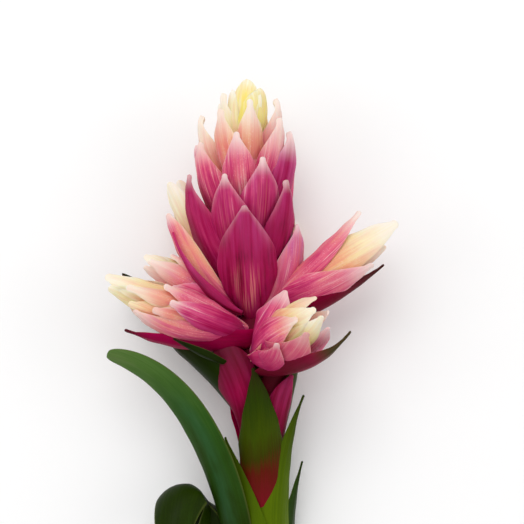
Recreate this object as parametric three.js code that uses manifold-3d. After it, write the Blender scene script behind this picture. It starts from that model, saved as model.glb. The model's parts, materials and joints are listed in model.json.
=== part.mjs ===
// A guzmania bromeliad: its flower head on a leafy stem, cut below the lowest leaves and laid on its back.
// The head is a tall spike of overlapping bracts. Smaller blooms stand round its foot, each in a bract of its own,
// and green bracts and strap leaves sheathe the stem. Every blade is one thin cupped solid on a curved midrib.
//
// The plant is drawn upright in its own frame, in millimetres: +X right, +Y up the stem, +Z towards the viewer,
// with the origin on the stem where the head begins. The outer group lays it down on the surface z = 0.

import * as THREE from "three";
import Module from "manifold-3d";

const wasm = await Module();
wasm.setup();

// Driving dimensions
const CUT_Y = -112; // the cut end of the stem
const HEAD_TOP_Y = 130; // the tip of the crown bud
const STEM_RADIUS = 6.5;
const NECK_RADIUS = 9.5;
const STEM_LEAN = -0.0625; // sideways run of the stem for each millimetre up
const SPIKE_LEAN = -0.03;
const NECK_X = 1;
const GAP = 0.3; // running gap between neighbouring pieces

// How it lies: the back blooms and the cut end carry it
const LIE_TILT = THREE.MathUtils.degToRad(8.6);
const REST_POINT = new THREE.Vector3(0, CUT_Y, -14.5); // lowest point of the cut end

const GOLDEN_ANGLE = 137.5;

const vec = (p) => new THREE.Vector3(...p);
const lerp = THREE.MathUtils.lerp;

// Turns a closed triangle list into a solid.
function solidFrom(positions, triangles) {
  return new wasm.Manifold(
    new wasm.Mesh({
      numProp: 3,
      vertProperties: Float32Array.from(positions),
      triVerts: Uint32Array.from(triangles),
    }),
  );
}

// Share of the full width at each station: it swells from the base to the widest place, then narrows to the tip.
// sharp keeps the width up towards the tip, and a small blunt rounds the tip itself off.
function widthShare(s, { base = 0.4, peak = 0.55, sharp = 2, blunt = 0.75 }) {
  if (s < peak) return lerp(base, 1, Math.sin((Math.PI / 2) * (s / peak)) ** 1.3);
  return (1 - ((s - peak) / (1 - peak)) ** sharp) ** blunt;
}

// One bract or leaf. Its midrib is a Bezier curve through path, face is the way its back looks at the base and
// faceTip at the tip, half is half its width measured round the curve, and cup is half the arc that it bends
// through. grow swells it, which makes the tool that cuts room for it out of its neighbours.
function blade(shape, grow = 0) {
  const { path, face, faceTip = face, half, thick = 1.4, cup = 0.8, cupBase = cup, rows = 5, strips = 4 } = shape;
  const midrib = new THREE.CubicBezierCurve3(...path.map(vec));
  const faces = [vec(face).normalize(), vec(faceTip).normalize()];
  const positions = [];
  const outer = (i, j) => i * (strips + 1) + j;
  const inner = (i, j) => (rows + i) * (strips + 1) + j;
  const apex = 2 * rows * (strips + 1);

  for (const side of [0.5, -0.5]) {
    for (let i = 0; i < rows; i++) {
      const s = 1 - (1 - i / rows) ** 1.5;
      const at = midrib.getPoint(s);
      const along = midrib.getTangent(s);
      const back = faces[0].clone().lerp(faces[1], s);
      back.addScaledVector(along, -back.dot(along)).normalize();
      const across = along.clone().cross(back);
      const share = widthShare(s, shape);
      const bend = lerp(cupBase, cup, Math.min(1, s / 0.5)) * share ** 0.7;
      const radius = (half * share) / bend;
      const spread = (half * share + grow) / radius;
      for (let j = 0; j <= strips; j++) {
        const turn = spread * ((2 * j) / strips - 1);
        const out = back.clone().multiplyScalar(Math.cos(turn)).addScaledVector(across, Math.sin(turn));
        const depth = thick * (1 - 0.35 * Math.abs((2 * j) / strips - 1)) * lerp(1, 0.7, s) + 2 * grow;
        const p = at.clone().addScaledVector(back, -radius).addScaledVector(out, radius + side * depth);
        positions.push(p.x, p.y, p.z);
      }
    }
  }
  const end = midrib.getPoint(1).addScaledVector(midrib.getTangent(1), 2 * grow);
  positions.push(end.x, end.y, end.z);

  const triangles = [];
  const quad = (a, b, c, d) => triangles.push(a, b, c, a, c, d);
  for (let i = 0; i < rows - 1; i++) {
    for (let j = 0; j < strips; j++) {
      quad(outer(i, j), outer(i, j + 1), outer(i + 1, j + 1), outer(i + 1, j));
      triangles.push(inner(i, j), inner(i + 1, j + 1), inner(i, j + 1));
      triangles.push(inner(i, j), inner(i + 1, j), inner(i + 1, j + 1));
    }
    quad(outer(i, strips), inner(i, strips), inner(i + 1, strips), outer(i + 1, strips));
    quad(inner(i, 0), outer(i, 0), outer(i + 1, 0), inner(i + 1, 0));
  }
  const last = rows - 1;
  for (let j = 0; j < strips; j++) {
    quad(outer(0, j), inner(0, j), inner(0, j + 1), outer(0, j + 1));
    triangles.push(outer(last, j), outer(last, j + 1), apex);
    triangles.push(inner(last, j + 1), inner(last, j), apex);
  }
  triangles.push(outer(last, strips), inner(last, strips), apex);
  triangles.push(inner(last, 0), outer(last, 0), apex);
  return solidFrom(positions, triangles);
}

// A round tapering body from foot to top, lathed from [radius, share of the length] pairs.
function spindle({ foot, top, profile, sides = 10 }, grow = 0) {
  const axis = vec(top).sub(vec(foot));
  const length = axis.length();
  const points = profile.map(([r, share]) => new THREE.Vector2(r > 0 ? r + grow : 0, share * length));
  points[0].y -= grow;
  points[points.length - 1].y += grow;
  const lathe = new THREE.LatheGeometry(points, sides);
  lathe.applyQuaternion(new THREE.Quaternion().setFromUnitVectors(new THREE.Vector3(0, 1, 0), axis.normalize()));
  lathe.translate(...foot);
  return closed(lathe);
}

// Merges a three.js geometry's shared vertices and makes it a solid.
function closed(geometry) {
  const position = geometry.getAttribute("position");
  const seen = new Map();
  const positions = [];
  const index = [];
  for (let i = 0; i < position.count; i++) {
    const p = [position.getX(i), position.getY(i), position.getZ(i)];
    const key = p.map((x) => Math.round(x * 1000)).join();
    if (!seen.has(key)) {
      seen.set(key, seen.size);
      positions.push(...p);
    }
    index.push(seen.get(key));
  }
  const triangles = [];
  const corners = geometry.index.array;
  for (let i = 0; i < corners.length; i += 3) {
    const [a, b, c] = [index[corners[i]], index[corners[i + 1]], index[corners[i + 2]]];
    if (a !== b && b !== c && c !== a) triangles.push(a, b, c);
  }
  const made = solidFrom(positions, triangles);
  return made.volume() < 0 ? solidFrom(positions, triangles.map((_, i, t) => t[i - (i % 3) + [0, 2, 1][i % 3]])) : made;
}

// The spike. Its bracts climb a golden-angle spiral. These are the ways single bracts have grown off it: degrees
// round the spike, millimetres up, millimetres outwards, and degrees that the blade is twisted on its own foot.
const SPIKE_NUDGES = {
  "-2": [-7, -1.5, -1.5, -24],
  0: [0, 0, 1],
  2: [8, 9, 4.8, 22],
  3: [1, 2.5, 0],
  5: [5, 0, 0],
  7: [0, 6, 1],
  8: [3, -0.6, 0],
  10: [-4, 1, 0],
  11: [4, 3.7, 0],
  13: [2, -1.1, 0],
  15: [0, 3, 1],
  16: [20, 0, 0],
  18: [7, 0, 0],
  19: [0, 3.3, 0],
  21: [4, -1, 0],
};
const SPIKE_FIRST = -2;
const SPIKE_LAST = 24;

function spikeBract(n) {
  const [turned, lift, out, twist = 0] = SPIKE_NUDGES[n] ?? [0, 0, 0];
  const angle = THREE.MathUtils.degToRad(-2 + GOLDEN_ANGLE * n + turned);
  const tipY = 66.8 + 3.55 * n - 0.047 * n * n + lift;
  const length = 57 - 0.8 * n + 0.6 * lift;
  const reach = 24.5 - 0.1 * n - 11.5 * Math.max(0, (n - 12) / 12) ** 1.6 + out;
  const round = [Math.sin(angle), 0, Math.cos(angle)];
  const facing = angle + THREE.MathUtils.degToRad(twist);
  const at = (r, y) => [NECK_X + SPIKE_LEAN * y + r * round[0], y, r * round[2]];
  return {
    path: [
      at(4, tipY - length),
      at(0.72 * reach, tipY - 0.8 * length),
      at(reach + 1.5, tipY - 0.36 * length),
      at(reach + 0.8, tipY),
    ],
    face: [Math.sin(facing), 0.05, Math.cos(facing)],
    half: 15.8 - 0.34 * n,
    cup: 0.62,
    base: 0.2,
    peak: 0.45,
    sharp: 1.6,
    blunt: 0.9,
    thick: 1.5,
    rows: n < 4 ? 5 : 4,
    strips: n < 16 ? 4 : 3,
  };
}

const range = (from, to) => Array.from({ length: to - from + 1 }, (_, i) => from + i);
const onSpike = (y) => [NECK_X + SPIKE_LEAN * y, y, 0];

const spike = {
  core: { foot: onSpike(18), top: onSpike(116), profile: [[0, 0], [7, 0], [13, 0.22], [14, 0.5], [9, 0.85], [0, 1]] },
  blades: range(SPIKE_FIRST, SPIKE_LAST).map(spikeBract),
};

// The closed bud at the top of the spike.
const crownBud = {
  blades: [
    { tip: [-2.2, HEAD_TOP_Y, 3], out: [-0.4, 0, 0.9], half: 7.5 },
    { tip: [4.5, 126.5, 2], out: [0.9, 0, 0.4], half: 7 },
    { tip: [-8, 124.8, -3], out: [-0.9, 0, -0.3], half: 6.5 },
    { tip: [-1, 127.5, -4], out: [0.2, 0, -1], half: 7 },
  ].map(({ tip, out, half }) => {
    const foot = [NECK_X + SPIKE_LEAN * 96, 96, 0];
    const side = vec(out).normalize();
    const at = (y, r) => [lerp(foot[0], tip[0], (y - 96) / 34) + side.x * r, y, side.z * r];
    return { path: [at(94, 2), at(102, 8), at(118, 7.5), tip], face: out, half, peak: 0.45, blunt: 0.6, thick: 1.6 };
  }),
  core: { foot: onSpike(100), top: [-2.5, 125, 0], profile: [[0, 0], [6.5, 0], [6.5, 0.5], [0, 1]] },
};

// A side bloom: bracts that spring from one seat and lie round the line from seat to heart. Each is given by its
// tip, half its width, and how far it stands off that line a third and two thirds of the way up.
function bloom({ seat, heart, bracts }) {
  const foot = vec(seat);
  const axis = vec(heart).sub(foot).normalize();
  const blades = bracts.map(({ tip, half, off = [8, 8], ...rest }) => {
    const reach = vec(tip).sub(foot);
    const along = reach.dot(axis);
    const side = reach.clone().addScaledVector(axis, -along);
    const out = (rest.out ? vec(rest.out) : side).clone().normalize();
    const at = (share, r) => foot.clone().addScaledVector(axis, share * along).addScaledVector(out, r).toArray();
    return {
      path: [at(0, 1.5), at(0.3, off[0] * 1.15), at(0.72, off[1] * 1.15), tip],
      face: out.toArray(),
      half,
      peak: 0.5,
      sharp: 2.4,
      blunt: 0.65,
      rows: 4,
      ...rest,
    };
  });
  const top = foot.clone().addScaledVector(axis, vec(heart).distanceTo(foot) * 0.7).toArray();
  return { blades, core: { foot: seat, top, sides: 8, profile: [[0, 0], [3.5, 0], [5.5, 0.35], [4, 0.75], [0, 1]] } };
}

const leftBloom = bloom({
  seat: [-2, 4, 10],
  heart: [-64, 25, 26],
  bracts: [
    { tip: [-70.4, 32.7, 27], half: 9.5, off: [8, 7], out: [-0.1, 0.8, 0.6] },
    { tip: [-68.8, 26.9, 29], half: 9, off: [7, 6], out: [0.1, -0.9, 0.4] },
    { tip: [-59.5, 27, 37], half: 10, off: [9, 10] },
    { tip: [-38.2, 19.8, 40], half: 12, off: [12, 16], out: [0.1, 0.1, 1] },
    { tip: [-56.3, 15.7, 30], half: 12, off: [10, 11], out: [0, -0.7, 0.7] },
    { tip: [-60, 28.6, 14], half: 10, off: [8, 8] },
    { tip: [-59, 17.3, 15], half: 11, off: [8, 8] },
  ],
});

const leftRearBloom = bloom({
  seat: [-6, 13, 1],
  heart: [-48, 39, 3],
  bracts: [
    { tip: [-51.3, 42.2, 4], half: 8, off: [6, 5], out: [-0.5, 0.8, 0.3] },
    { tip: [-45.5, 41.5, 0], half: 8, off: [6, 7], out: [0.3, 0.9, 0] },
    { tip: [-39.4, 42.7, 7], half: 9, off: [8, 9], out: [0.3, 0.8, 0.5] },
    { tip: [-52.8, 35, 8], half: 9, off: [7, 7], out: [-0.4, -0.5, 0.7] },
    { tip: [-49.3, 38.5, 12], half: 10, off: [8, 8], out: [-0.1, 0.1, 1] },
    { tip: [-49, 36, -7], half: 10, off: [7, 7] },
  ],
});

const upperLeftBloom = bloom({
  seat: [-7, 24, -6],
  heart: [-38, 78, -11],
  bracts: [
    { tip: [-40.3, 79.7, -6], half: 7.5, off: [6, 6], out: [-0.5, 0, 0.8] },
    { tip: [-35.9, 80.4, -9], half: 7, off: [4, 5], out: [0.5, 0.2, 0.9] },
    { tip: [-36.8, 74.6, -18], half: 8.5, off: [7, 7] },
    { tip: [-38, 65, -17], half: 8.5, off: [7, 7] },
  ],
});

const rightBloom = bloom({
  seat: [8, 15, 4],
  heart: [68, 52, 6],
  bracts: [
    { tip: [54.8, 64.4, 4], half: 9.5, off: [6, 9], out: [-0.4, 0.8, 0.5], sharp: 1.6, blunt: 0.9 },
    { tip: [73.3, 58.8, 10], half: 10.5, off: [9, 8], out: [-0.2, 0.3, 0.9], sharp: 1.9, blunt: 0.8 },
    { tip: [67.9, 46.7, 5], half: 9, off: [7, 7], out: [0.3, -0.6, 0.6] },
    { tip: [60.7, 38, 18], half: 12.5, off: [10, 11], out: [0.1, -0.5, 0.9] },
    { tip: [64.2, 52.1, -4], half: 10, off: [8, 8] },
    { tip: [52, 39, -8], half: 10, off: [8, 8] },
  ],
});

const frontRightBloom = bloom({
  seat: [2, -8, 13],
  heart: [32, 15, 42],
  bracts: [
    { tip: [17.6, 25.3, 24], half: 11.5, off: [10, 11], out: [-0.8, 0.5, 0.1] },
    { tip: [32.5, 21.9, 36], half: 10, off: [9, 10], out: [0.1, 0.9, -0.3] },
    { tip: [31.8, 16.6, 45], half: 12, off: [7, 8], out: [-0.4, 0.3, 0.8] },
    { tip: [37, 16.4, 38], half: 8, off: [8, 8], out: [0.8, 0.4, -0.2] },
    { tip: [38, 7.7, 37], half: 9, off: [9, 9], out: [0.8, -0.4, -0.1] },
    { tip: [27.4, 5.7, 48], half: 11, off: [9, 11], out: [0.1, -0.7, 0.7] },
    { tip: [13.2, 0, 42], half: 11, off: [10, 13], out: [-0.5, -0.2, 0.8] },
    { tip: [24.4, 1.2, 32], half: 11, off: [9, 9] },
  ],
});

const backLeftBloom = bloom({
  seat: [-4, 16, -9],
  heart: [-24, 66, -36],
  bracts: [
    { tip: [-27, 64, -40.5], half: 8, off: [6, 6], out: [-0.6, 0.4, -0.5], rows: 3, strips: 3 },
    { tip: [-20, 66, -38], half: 8, off: [6, 7], out: [0.3, 0.5, -0.6], rows: 3, strips: 3 },
    { tip: [-16, 56, -32], half: 9, off: [8, 8], rows: 3, strips: 3 },
    { tip: [-32, 52, -30], half: 9, off: [8, 8], rows: 3, strips: 3 },
    { tip: [-25, 50, -38.5], half: 11, off: [6, 7], rows: 3, strips: 3 },
  ],
});

const backRightBloom = bloom({
  seat: [6, 14, -9],
  heart: [22, 58, -35],
  bracts: [
    { tip: [24, 60, -40], half: 8, off: [6, 6], out: [0.6, 0.4, -0.5], rows: 3, strips: 3 },
    { tip: [17, 62, -38], half: 8, off: [6, 7], out: [-0.3, 0.5, -0.6], rows: 3, strips: 3 },
    { tip: [12, 52, -32], half: 9, off: [8, 8], rows: 3, strips: 3 },
    { tip: [31, 44, -30], half: 9, off: [8, 8], rows: 3, strips: 3 },
    { tip: [24, 44, -37.5], half: 11, off: [6, 7], rows: 3, strips: 3 },
  ],
});

// The bract under each side bloom, and the bracts and leaves of the stem, each a node of its own.
const single = {
  left_bloom_bract: {
    path: [[1, -2, 11], [-22, -8, 20], [-46, -2, 26], [-61.2, 5.9, 24]],
    face: [-0.1, -0.8, 0.6],
    half: 15,
    cup: 0.9,
    base: 0.7,
    sharp: 1.3,
    blunt: 1.2,
    colour: "magenta",
  },
  upper_left_bloom_bract: {
    path: [[-3, 14, 6], [-22, 19, 12], [-37, 42, 8], [-41.2, 63.2, 3]],
    face: [-0.6, -0.3, 0.8],
    half: 12,
    colour: "pink",
  },
  right_bloom_bract: {
    path: [[9, 8, 7], [28, 6, 12], [50, 20, 13], [66.5, 37.2, 5]],
    face: [0.35, -0.85, 0.4],
    half: 13,
    cup: 0.9,
    sharp: 1.4,
    blunt: 1.1,
    colour: "magenta",
  },
  front_right_bloom_bract: {
    path: [[4, -16, 11], [14, -20, 32], [34, -16, 42], [49, 5.7, 34]],
    face: [0.3, -0.85, 0.45],
    half: 17,
    cup: 0.9,
    peak: 0.45,
    sharp: 1.2,
    blunt: 1.3,
    colour: "magenta",
  },
  back_left_bloom_bract: {
    path: [[-3, 0, -7], [-13, 9, -26], [-26, 28, -34.3], [-30, 48, -38.2]],
    face: [-0.5, -0.4, -0.75],
    half: 12,
    colour: "magenta",
  },
  back_right_bloom_bract: {
    path: [[5, 0, -7], [14, 8, -25], [26, 22, -33], [30, 40, -37]],
    face: [0.5, -0.4, -0.75],
    half: 12,
    colour: "magenta",
  },
  leaf_left: {
    path: [[-5.5, CUT_Y - 1, 9], [-12, -64, 15], [-29, -13, 27], [-68.9, -5.4, 34]],
    face: [-0.5, 0, 0.85],
    faceTip: [-0.3, -0.45, 0.85],
    half: 10.5,
    cup: 0.5,
    cupBase: 1,
    base: 0.9,
    peak: 0.4,
    sharp: 3,
    blunt: 0.45,
    rows: 9,
    thick: 1.8,
    colour: "green",
  },
  sheath_left: {
    path: [[-2, CUT_Y - 1, 9], [-3, -92, 9.5], [-6, -70, 11], [-10.6, -47.3, 9]],
    face: [-0.7, 0, 0.7],
    half: 13,
    cup: 0.95,
    base: 1,
    peak: 0.2,
    sharp: 1.1,
    blunt: 1,
    colour: "lime",
  },
  sheath_right: {
    path: [[17, CUT_Y - 1, 8], [17, -90, 9.5], [17.5, -60, 11], [26.8, -26.7, 9]],
    face: [0.75, 0, 0.65],
    half: 13,
    cup: 0.95,
    base: 1,
    peak: 0.2,
    sharp: 1.1,
    blunt: 1.1,
    colour: "lime",
  },
  green_bract_front: {
    path: [[7, -98, 8.5], [6.5, -74, 13], [6.5, -40, 19], [1.8, -12.5, 20]],
    face: [0.05, 0, 1],
    half: 13,
    peak: 0.55,
    cup: 1,
    base: 0.6,
    sharp: 1.25,
    blunt: 1,
    colour: "scape",
  },
  neck_bract_left: {
    path: [[-1, -60, 8], [-2, -38, 13], [-7, -22, 19], [-14, -5, 17]],
    face: [-0.3, -0.1, 0.95],
    half: 16,
    peak: 0.8,
    cup: 0.9,
    base: 0.35,
    sharp: 2.5,
    blunt: 0.6,
    colour: "magenta",
  },
  neck_bract_right: {
    path: [[15, -56, 7], [16, -40, 12], [18, -24, 14], [21, -9, 13]],
    face: [0.5, -0.1, 0.85],
    half: 10,
    peak: 0.6,
    cup: 0.9,
    base: 0.4,
    blunt: 0.6,
    colour: "magenta",
  },
  neck_bract_back: {
    path: [[4, -62, -7], [4, -42, -10.5], [2, -24, -17], [0, -5, -19]],
    face: [0, -0.1, -1],
    half: 15,
    cup: 0.9,
    base: 0.5,
    colour: "magenta",
  },
  green_bract_left_rear: {
    path: [[-2, -57, 4], [-8, -36, 6], [-22, -20, 7], [-39.5, -1, 8]],
    face: [-0.6, -0.5, 0.5],
    faceTip: [-0.4, -0.7, 0.5],
    half: 12,
    cup: 0.9,
    colour: "green",
  },
  green_bract_left_front: {
    path: [[-11.6, -10, 21], [-19.4, -7.5, 24], [-29.2, -3, 24], [-41, 2.2, 18]],
    face: [-0.2, -0.7, 0.7],
    half: 5,
    colour: "green",
  },
  green_bract_right: {
    path: [[14, -60, 3], [18, -42, 4], [22, -27, 5], [25, -6, 6]],
    face: [0.9, -0.2, 0.3],
    half: 9,
    cup: 0.7,
    colour: "green",
  },
  green_bract_back_left: {
    path: [[-2, -24, -7], [-19, -11, -14], [-44, 10, -18], [-65, 33.4, -14]],
    face: [-0.4, -0.5, -0.7],
    half: 9,
    colour: "green",
  },
  sheath_right_rear: {
    path: [[21, CUT_Y - 1, -2], [22.3, -95, -1], [22.3, -80, 0], [26.2, -60.3, 1]],
    face: [1, 0, -0.1],
    half: 9,
    cup: 0.6,
    base: 0.9,
    peak: 0.25,
    sharp: 1.1,
    blunt: 1.1,
    colour: "green",
  },
  leaf_lower_left: {
    path: [[-5, CUT_Y - 1, 0], [-26, -70, -6], [-36, -58, 26], [-40, -114, 32]],
    face: [0.1, -0.8, -0.4],
    faceTip: [0.4, -0.6, -0.6],
    half: 14.5,
    cup: 0.35,
    cupBase: 0.9,
    base: 0.7,
    peak: 0.5,
    sharp: 3,
    rows: 10,
    thick: 1.8,
    colour: "green",
  },
  sheath_back: {
    path: [[9, CUT_Y - 1, -9.5], [8, -92, -9.5], [6.5, -70, -11.5], [6, -46, -15]],
    face: [0.15, 0, -1],
    half: 14,
    cup: 1.1,
    base: 1,
    peak: 0.2,
    sharp: 1.3,
    colour: "lime",
  },
  leaf_back: {
    path: [[7, CUT_Y - 1, -13.9], [7, -85, -17], [8, -52, -21], [9, -18, -24]],
    face: [0, 0, -1],
    half: 12,
    cup: 0.8,
    cupBase: 1.2,
    base: 0.9,
    peak: 0.3,
    sharp: 2.5,
    rows: 7,
    thick: 1.8,
    colour: "green",
  },
};

const stem = {
  core: {
    foot: [NECK_X + STEM_LEAN * CUT_Y, CUT_Y, 0],
    top: [NECK_X, 20, 0],
    sides: 14,
    profile: [[0, 0], [STEM_RADIUS, 0], [STEM_RADIUS, 0.6], [NECK_RADIUS, 0.8], [NECK_RADIUS, 0.87], [6, 0.94], [0, 1]],
  },
  blades: [],
};

// Joins a node's core and blades into one solid.
function join({ core, blades }, grow = 0) {
  const solids = blades.map((b) => blade(b, grow));
  if (core) solids.push(spindle(core, grow));
  return wasm.Manifold.union(solids);
}

// The nodes, in the order in which each gives way to those before it.
const NODES = [
  ["stem", stem, "stem"],
  ["spike", spike, "magenta"],
  ["crown_bud", crownBud, "cream"],
  ["front_right_bloom", frontRightBloom, "cream"],
  ["left_bloom", leftBloom, "pink"],
  ["right_bloom", rightBloom, "pink"],
  ["left_rear_bloom", leftRearBloom, "pink"],
  ["upper_left_bloom", upperLeftBloom, "cream"],
  ["back_left_bloom", backLeftBloom, "pink"],
  ["back_right_bloom", backRightBloom, "pink"],
  ...Object.entries(single).map(([name, shape]) => [name, { blades: [shape] }, shape.colour]),
];

const COLOURS = {
  magenta: 0xa8175a,
  pink: 0xdd6f8c,
  cream: 0xf2dfa8,
  green: 0x2f5a1f,
  lime: 0x6f8f1c,
  scape: 0x4f6f14,
  stem: 0x8a2a4a,
};

// Lays the plant down: the surface passes under its rest point, tilted back by LIE_TILT.
const plant = new THREE.Group();
plant.rotation.x = LIE_TILT;
const down = new THREE.Vector3(0, 0, 1).applyEuler(new THREE.Euler(-LIE_TILT, 0, 0));
const floorAt = down.dot(REST_POINT);
plant.position.set(-1.45, -6.22, -floorAt);

const cutters = [];
for (const [name, make, colour] of NODES) {
  let solid = join(make);
  for (const cutter of cutters) solid = solid.subtract(cutter);
  solid = solid.trimByPlane(down.toArray(), floorAt).trimByPlane([0, 1, 0], CUT_Y);
  const body = solid.decompose().sort((a, b) => b.volume() - a.volume())[0].simplify(0.1);
  cutters.push(join(make, GAP));

  const { numProp, numVert, vertProperties, triVerts } = body.getMesh();
  const positions = new Float32Array(numVert * 3);
  for (let i = 0; i < numVert; i++) positions.set(vertProperties.subarray(i * numProp, i * numProp + 3), i * 3);
  const geometry = new THREE.BufferGeometry();
  geometry.setAttribute("position", new THREE.BufferAttribute(positions, 3));
  geometry.setIndex(new THREE.BufferAttribute(triVerts, 1));
  geometry.computeVertexNormals();
  const material = new THREE.MeshStandardMaterial({ color: COLOURS[colour], roughness: 0.45, metalness: 0 });
  const mesh = new THREE.Mesh(geometry, material);
  mesh.name = name;
  plant.add(mesh);
}

const bromeliad = new THREE.Group();
bromeliad.add(plant);

export default bromeliad;
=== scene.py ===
# %% [markdown]
# # A guzmania, cut and laid down
# A guzmania bromeliad carries a head of coloured bracts, which are leaves that do the work of petals, on a
# stem wrapped in green sheaths. This one has been cut below its lowest leaves and lies on its back on a
# pale surface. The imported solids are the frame: they say how big every piece is and where it lies. A new
# mesh goes in the place of each of them, because a plant needs thin curved edges and finishes that change
# along every single bract. Nothing is scaled or moved to fit, since the solids and the new pieces share one
# set of numbers.

# %% Load the frame
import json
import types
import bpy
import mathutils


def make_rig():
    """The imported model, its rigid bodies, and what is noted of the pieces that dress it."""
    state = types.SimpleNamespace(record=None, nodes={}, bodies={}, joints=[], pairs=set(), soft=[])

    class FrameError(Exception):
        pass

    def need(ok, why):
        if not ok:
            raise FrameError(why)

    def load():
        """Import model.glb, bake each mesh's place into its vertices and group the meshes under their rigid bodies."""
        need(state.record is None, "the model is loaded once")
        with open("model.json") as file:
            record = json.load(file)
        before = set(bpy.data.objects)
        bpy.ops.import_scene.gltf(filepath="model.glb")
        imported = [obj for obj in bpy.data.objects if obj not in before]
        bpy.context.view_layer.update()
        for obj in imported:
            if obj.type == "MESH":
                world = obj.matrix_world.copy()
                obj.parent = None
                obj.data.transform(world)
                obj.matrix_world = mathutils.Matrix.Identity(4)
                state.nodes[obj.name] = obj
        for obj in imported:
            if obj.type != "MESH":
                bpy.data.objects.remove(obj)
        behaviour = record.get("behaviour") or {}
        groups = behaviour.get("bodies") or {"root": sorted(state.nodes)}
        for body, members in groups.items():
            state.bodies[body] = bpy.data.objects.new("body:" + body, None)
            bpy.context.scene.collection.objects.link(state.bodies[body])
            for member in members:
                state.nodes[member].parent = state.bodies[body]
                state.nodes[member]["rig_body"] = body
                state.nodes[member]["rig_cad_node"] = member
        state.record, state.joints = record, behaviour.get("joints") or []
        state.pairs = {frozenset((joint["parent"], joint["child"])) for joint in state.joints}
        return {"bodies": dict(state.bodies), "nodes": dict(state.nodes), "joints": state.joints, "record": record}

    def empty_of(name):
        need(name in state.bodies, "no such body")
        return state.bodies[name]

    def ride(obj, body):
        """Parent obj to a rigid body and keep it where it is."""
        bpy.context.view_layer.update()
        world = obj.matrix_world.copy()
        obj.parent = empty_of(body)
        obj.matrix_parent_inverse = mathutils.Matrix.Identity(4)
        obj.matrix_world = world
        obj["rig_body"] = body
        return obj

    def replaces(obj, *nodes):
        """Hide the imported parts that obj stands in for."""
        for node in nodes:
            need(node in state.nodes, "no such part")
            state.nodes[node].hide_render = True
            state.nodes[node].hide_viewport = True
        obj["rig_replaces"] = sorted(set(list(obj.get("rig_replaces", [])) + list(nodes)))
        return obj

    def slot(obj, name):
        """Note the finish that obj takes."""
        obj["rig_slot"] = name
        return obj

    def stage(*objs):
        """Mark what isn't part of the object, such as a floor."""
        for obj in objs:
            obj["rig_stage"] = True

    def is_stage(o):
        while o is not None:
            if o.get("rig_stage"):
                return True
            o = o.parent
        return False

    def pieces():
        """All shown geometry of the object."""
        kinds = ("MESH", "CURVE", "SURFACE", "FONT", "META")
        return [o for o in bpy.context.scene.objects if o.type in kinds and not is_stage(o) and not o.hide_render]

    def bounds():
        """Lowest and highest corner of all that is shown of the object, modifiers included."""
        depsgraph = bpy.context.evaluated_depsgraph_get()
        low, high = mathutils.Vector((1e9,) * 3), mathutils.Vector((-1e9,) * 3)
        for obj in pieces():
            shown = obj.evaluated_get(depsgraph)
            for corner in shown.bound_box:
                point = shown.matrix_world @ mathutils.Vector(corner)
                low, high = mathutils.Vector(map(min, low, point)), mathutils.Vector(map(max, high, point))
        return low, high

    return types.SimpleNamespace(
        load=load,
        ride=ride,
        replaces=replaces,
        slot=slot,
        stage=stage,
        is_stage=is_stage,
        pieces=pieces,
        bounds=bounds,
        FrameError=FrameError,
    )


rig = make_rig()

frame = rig.load()

import json
import math

import bpy
import numpy as np
from mathutils import Vector

cad_box = [list(corner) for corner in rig.bounds()]
print("solids:", len(frame["nodes"]), "their box in mm:", [[round(1000 * v, 1) for v in c] for c in cad_box])

# %% [markdown]
# ## The plant upright, and the plant lying down
# A plant is easiest to describe as it grows: x to the right, y up the stem, z towards the eye, in
# millimetres. It lies on its cut end and its rear blooms, which tips it by 8.6 degrees. Parenting every
# piece to a turned empty would also lay it down, but then each place read back from the mesh would need
# undoing. Turning the points themselves, once, keeps every mesh in the frame that the solids use.

# %% Lay the plant down
LIE_TILT = math.radians(8.6)
PLACE = np.array([-1.45, -6.22, 31.085])
TURN = np.array([
    [1, 0, 0],
    [0, math.cos(LIE_TILT), -math.sin(LIE_TILT)],
    [0, math.sin(LIE_TILT), math.cos(LIE_TILT)],
])


def lay_down(points):
    """Millimetres on the growing plant to metres on the surface it lies on."""
    return (np.asarray(points, float) @ TURN.T + PLACE) / 1000


print("the tip of the crown lies at", lay_down([-1.2, 130, 3]).round(4))

# %% [markdown]
# ## The camera
# The photograph looks straight down the plant's own z axis from about a metre away, so the camera stands on
# that axis and takes over the plant's tilt. A long lens keeps the flatness of the picture. The lens length
# is worked out, not guessed: a frame of 524 pixels at half a millimetre each is 262 mm wide at one metre.

# %% Camera
STAND_OFF = 1000.0
FRAME_WIDE = 524 * 0.5
SENSOR_WIDE = 36
LOOKS_AT = (6, 39)  # the x and y of the plant in the middle of the picture
lens = bpy.data.cameras.new("camera")
lens.sensor_fit = "HORIZONTAL"
lens.sensor_width = SENSOR_WIDE
lens.lens = SENSOR_WIDE * STAND_OFF / FRAME_WIDE
lens.clip_start, lens.clip_end = 0.05, 20
camera = bpy.data.objects.new("camera", lens)
camera.location = lay_down([*LOOKS_AT, STAND_OFF])
camera.rotation_euler = (LIE_TILT, 0, 0)
bpy.context.scene.collection.objects.link(camera)
bpy.context.scene.camera = camera
print("lens", round(lens.lens, 1), "mm, camera at", [round(v, 3) for v in camera.location])

# %% [markdown]
# ## The outline of a bract
# Every bract and leaf has the same kind of outline: narrow where it springs, widest near the middle, then
# drawn in to its tip. A picture of a leaf on a flat card would give the outline for nothing, but a card has
# no thickness and looks like paper from the side. Here the outline is a share of the full width at each
# station from base to tip, so a few numbers make a blunt petal, a strap leaf or a pointed scale.

# %% Width share
def width_share(s, base=0.4, peak=0.55, swell=1.3, sharp=2.0, blunt=0.75):
    """1 at the widest place. A large swell keeps the foot slim, a large sharp keeps the width up towards the
    tip, and a small blunt rounds the tip off."""
    rise = base + (1 - base) * np.sin(np.pi / 2 * np.clip(s / peak, 0, 1)) ** swell
    fall = (1 - np.clip((s - peak) / (1 - peak), 0, 1) ** sharp) ** blunt
    return np.where(s < peak, rise, fall)


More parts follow.
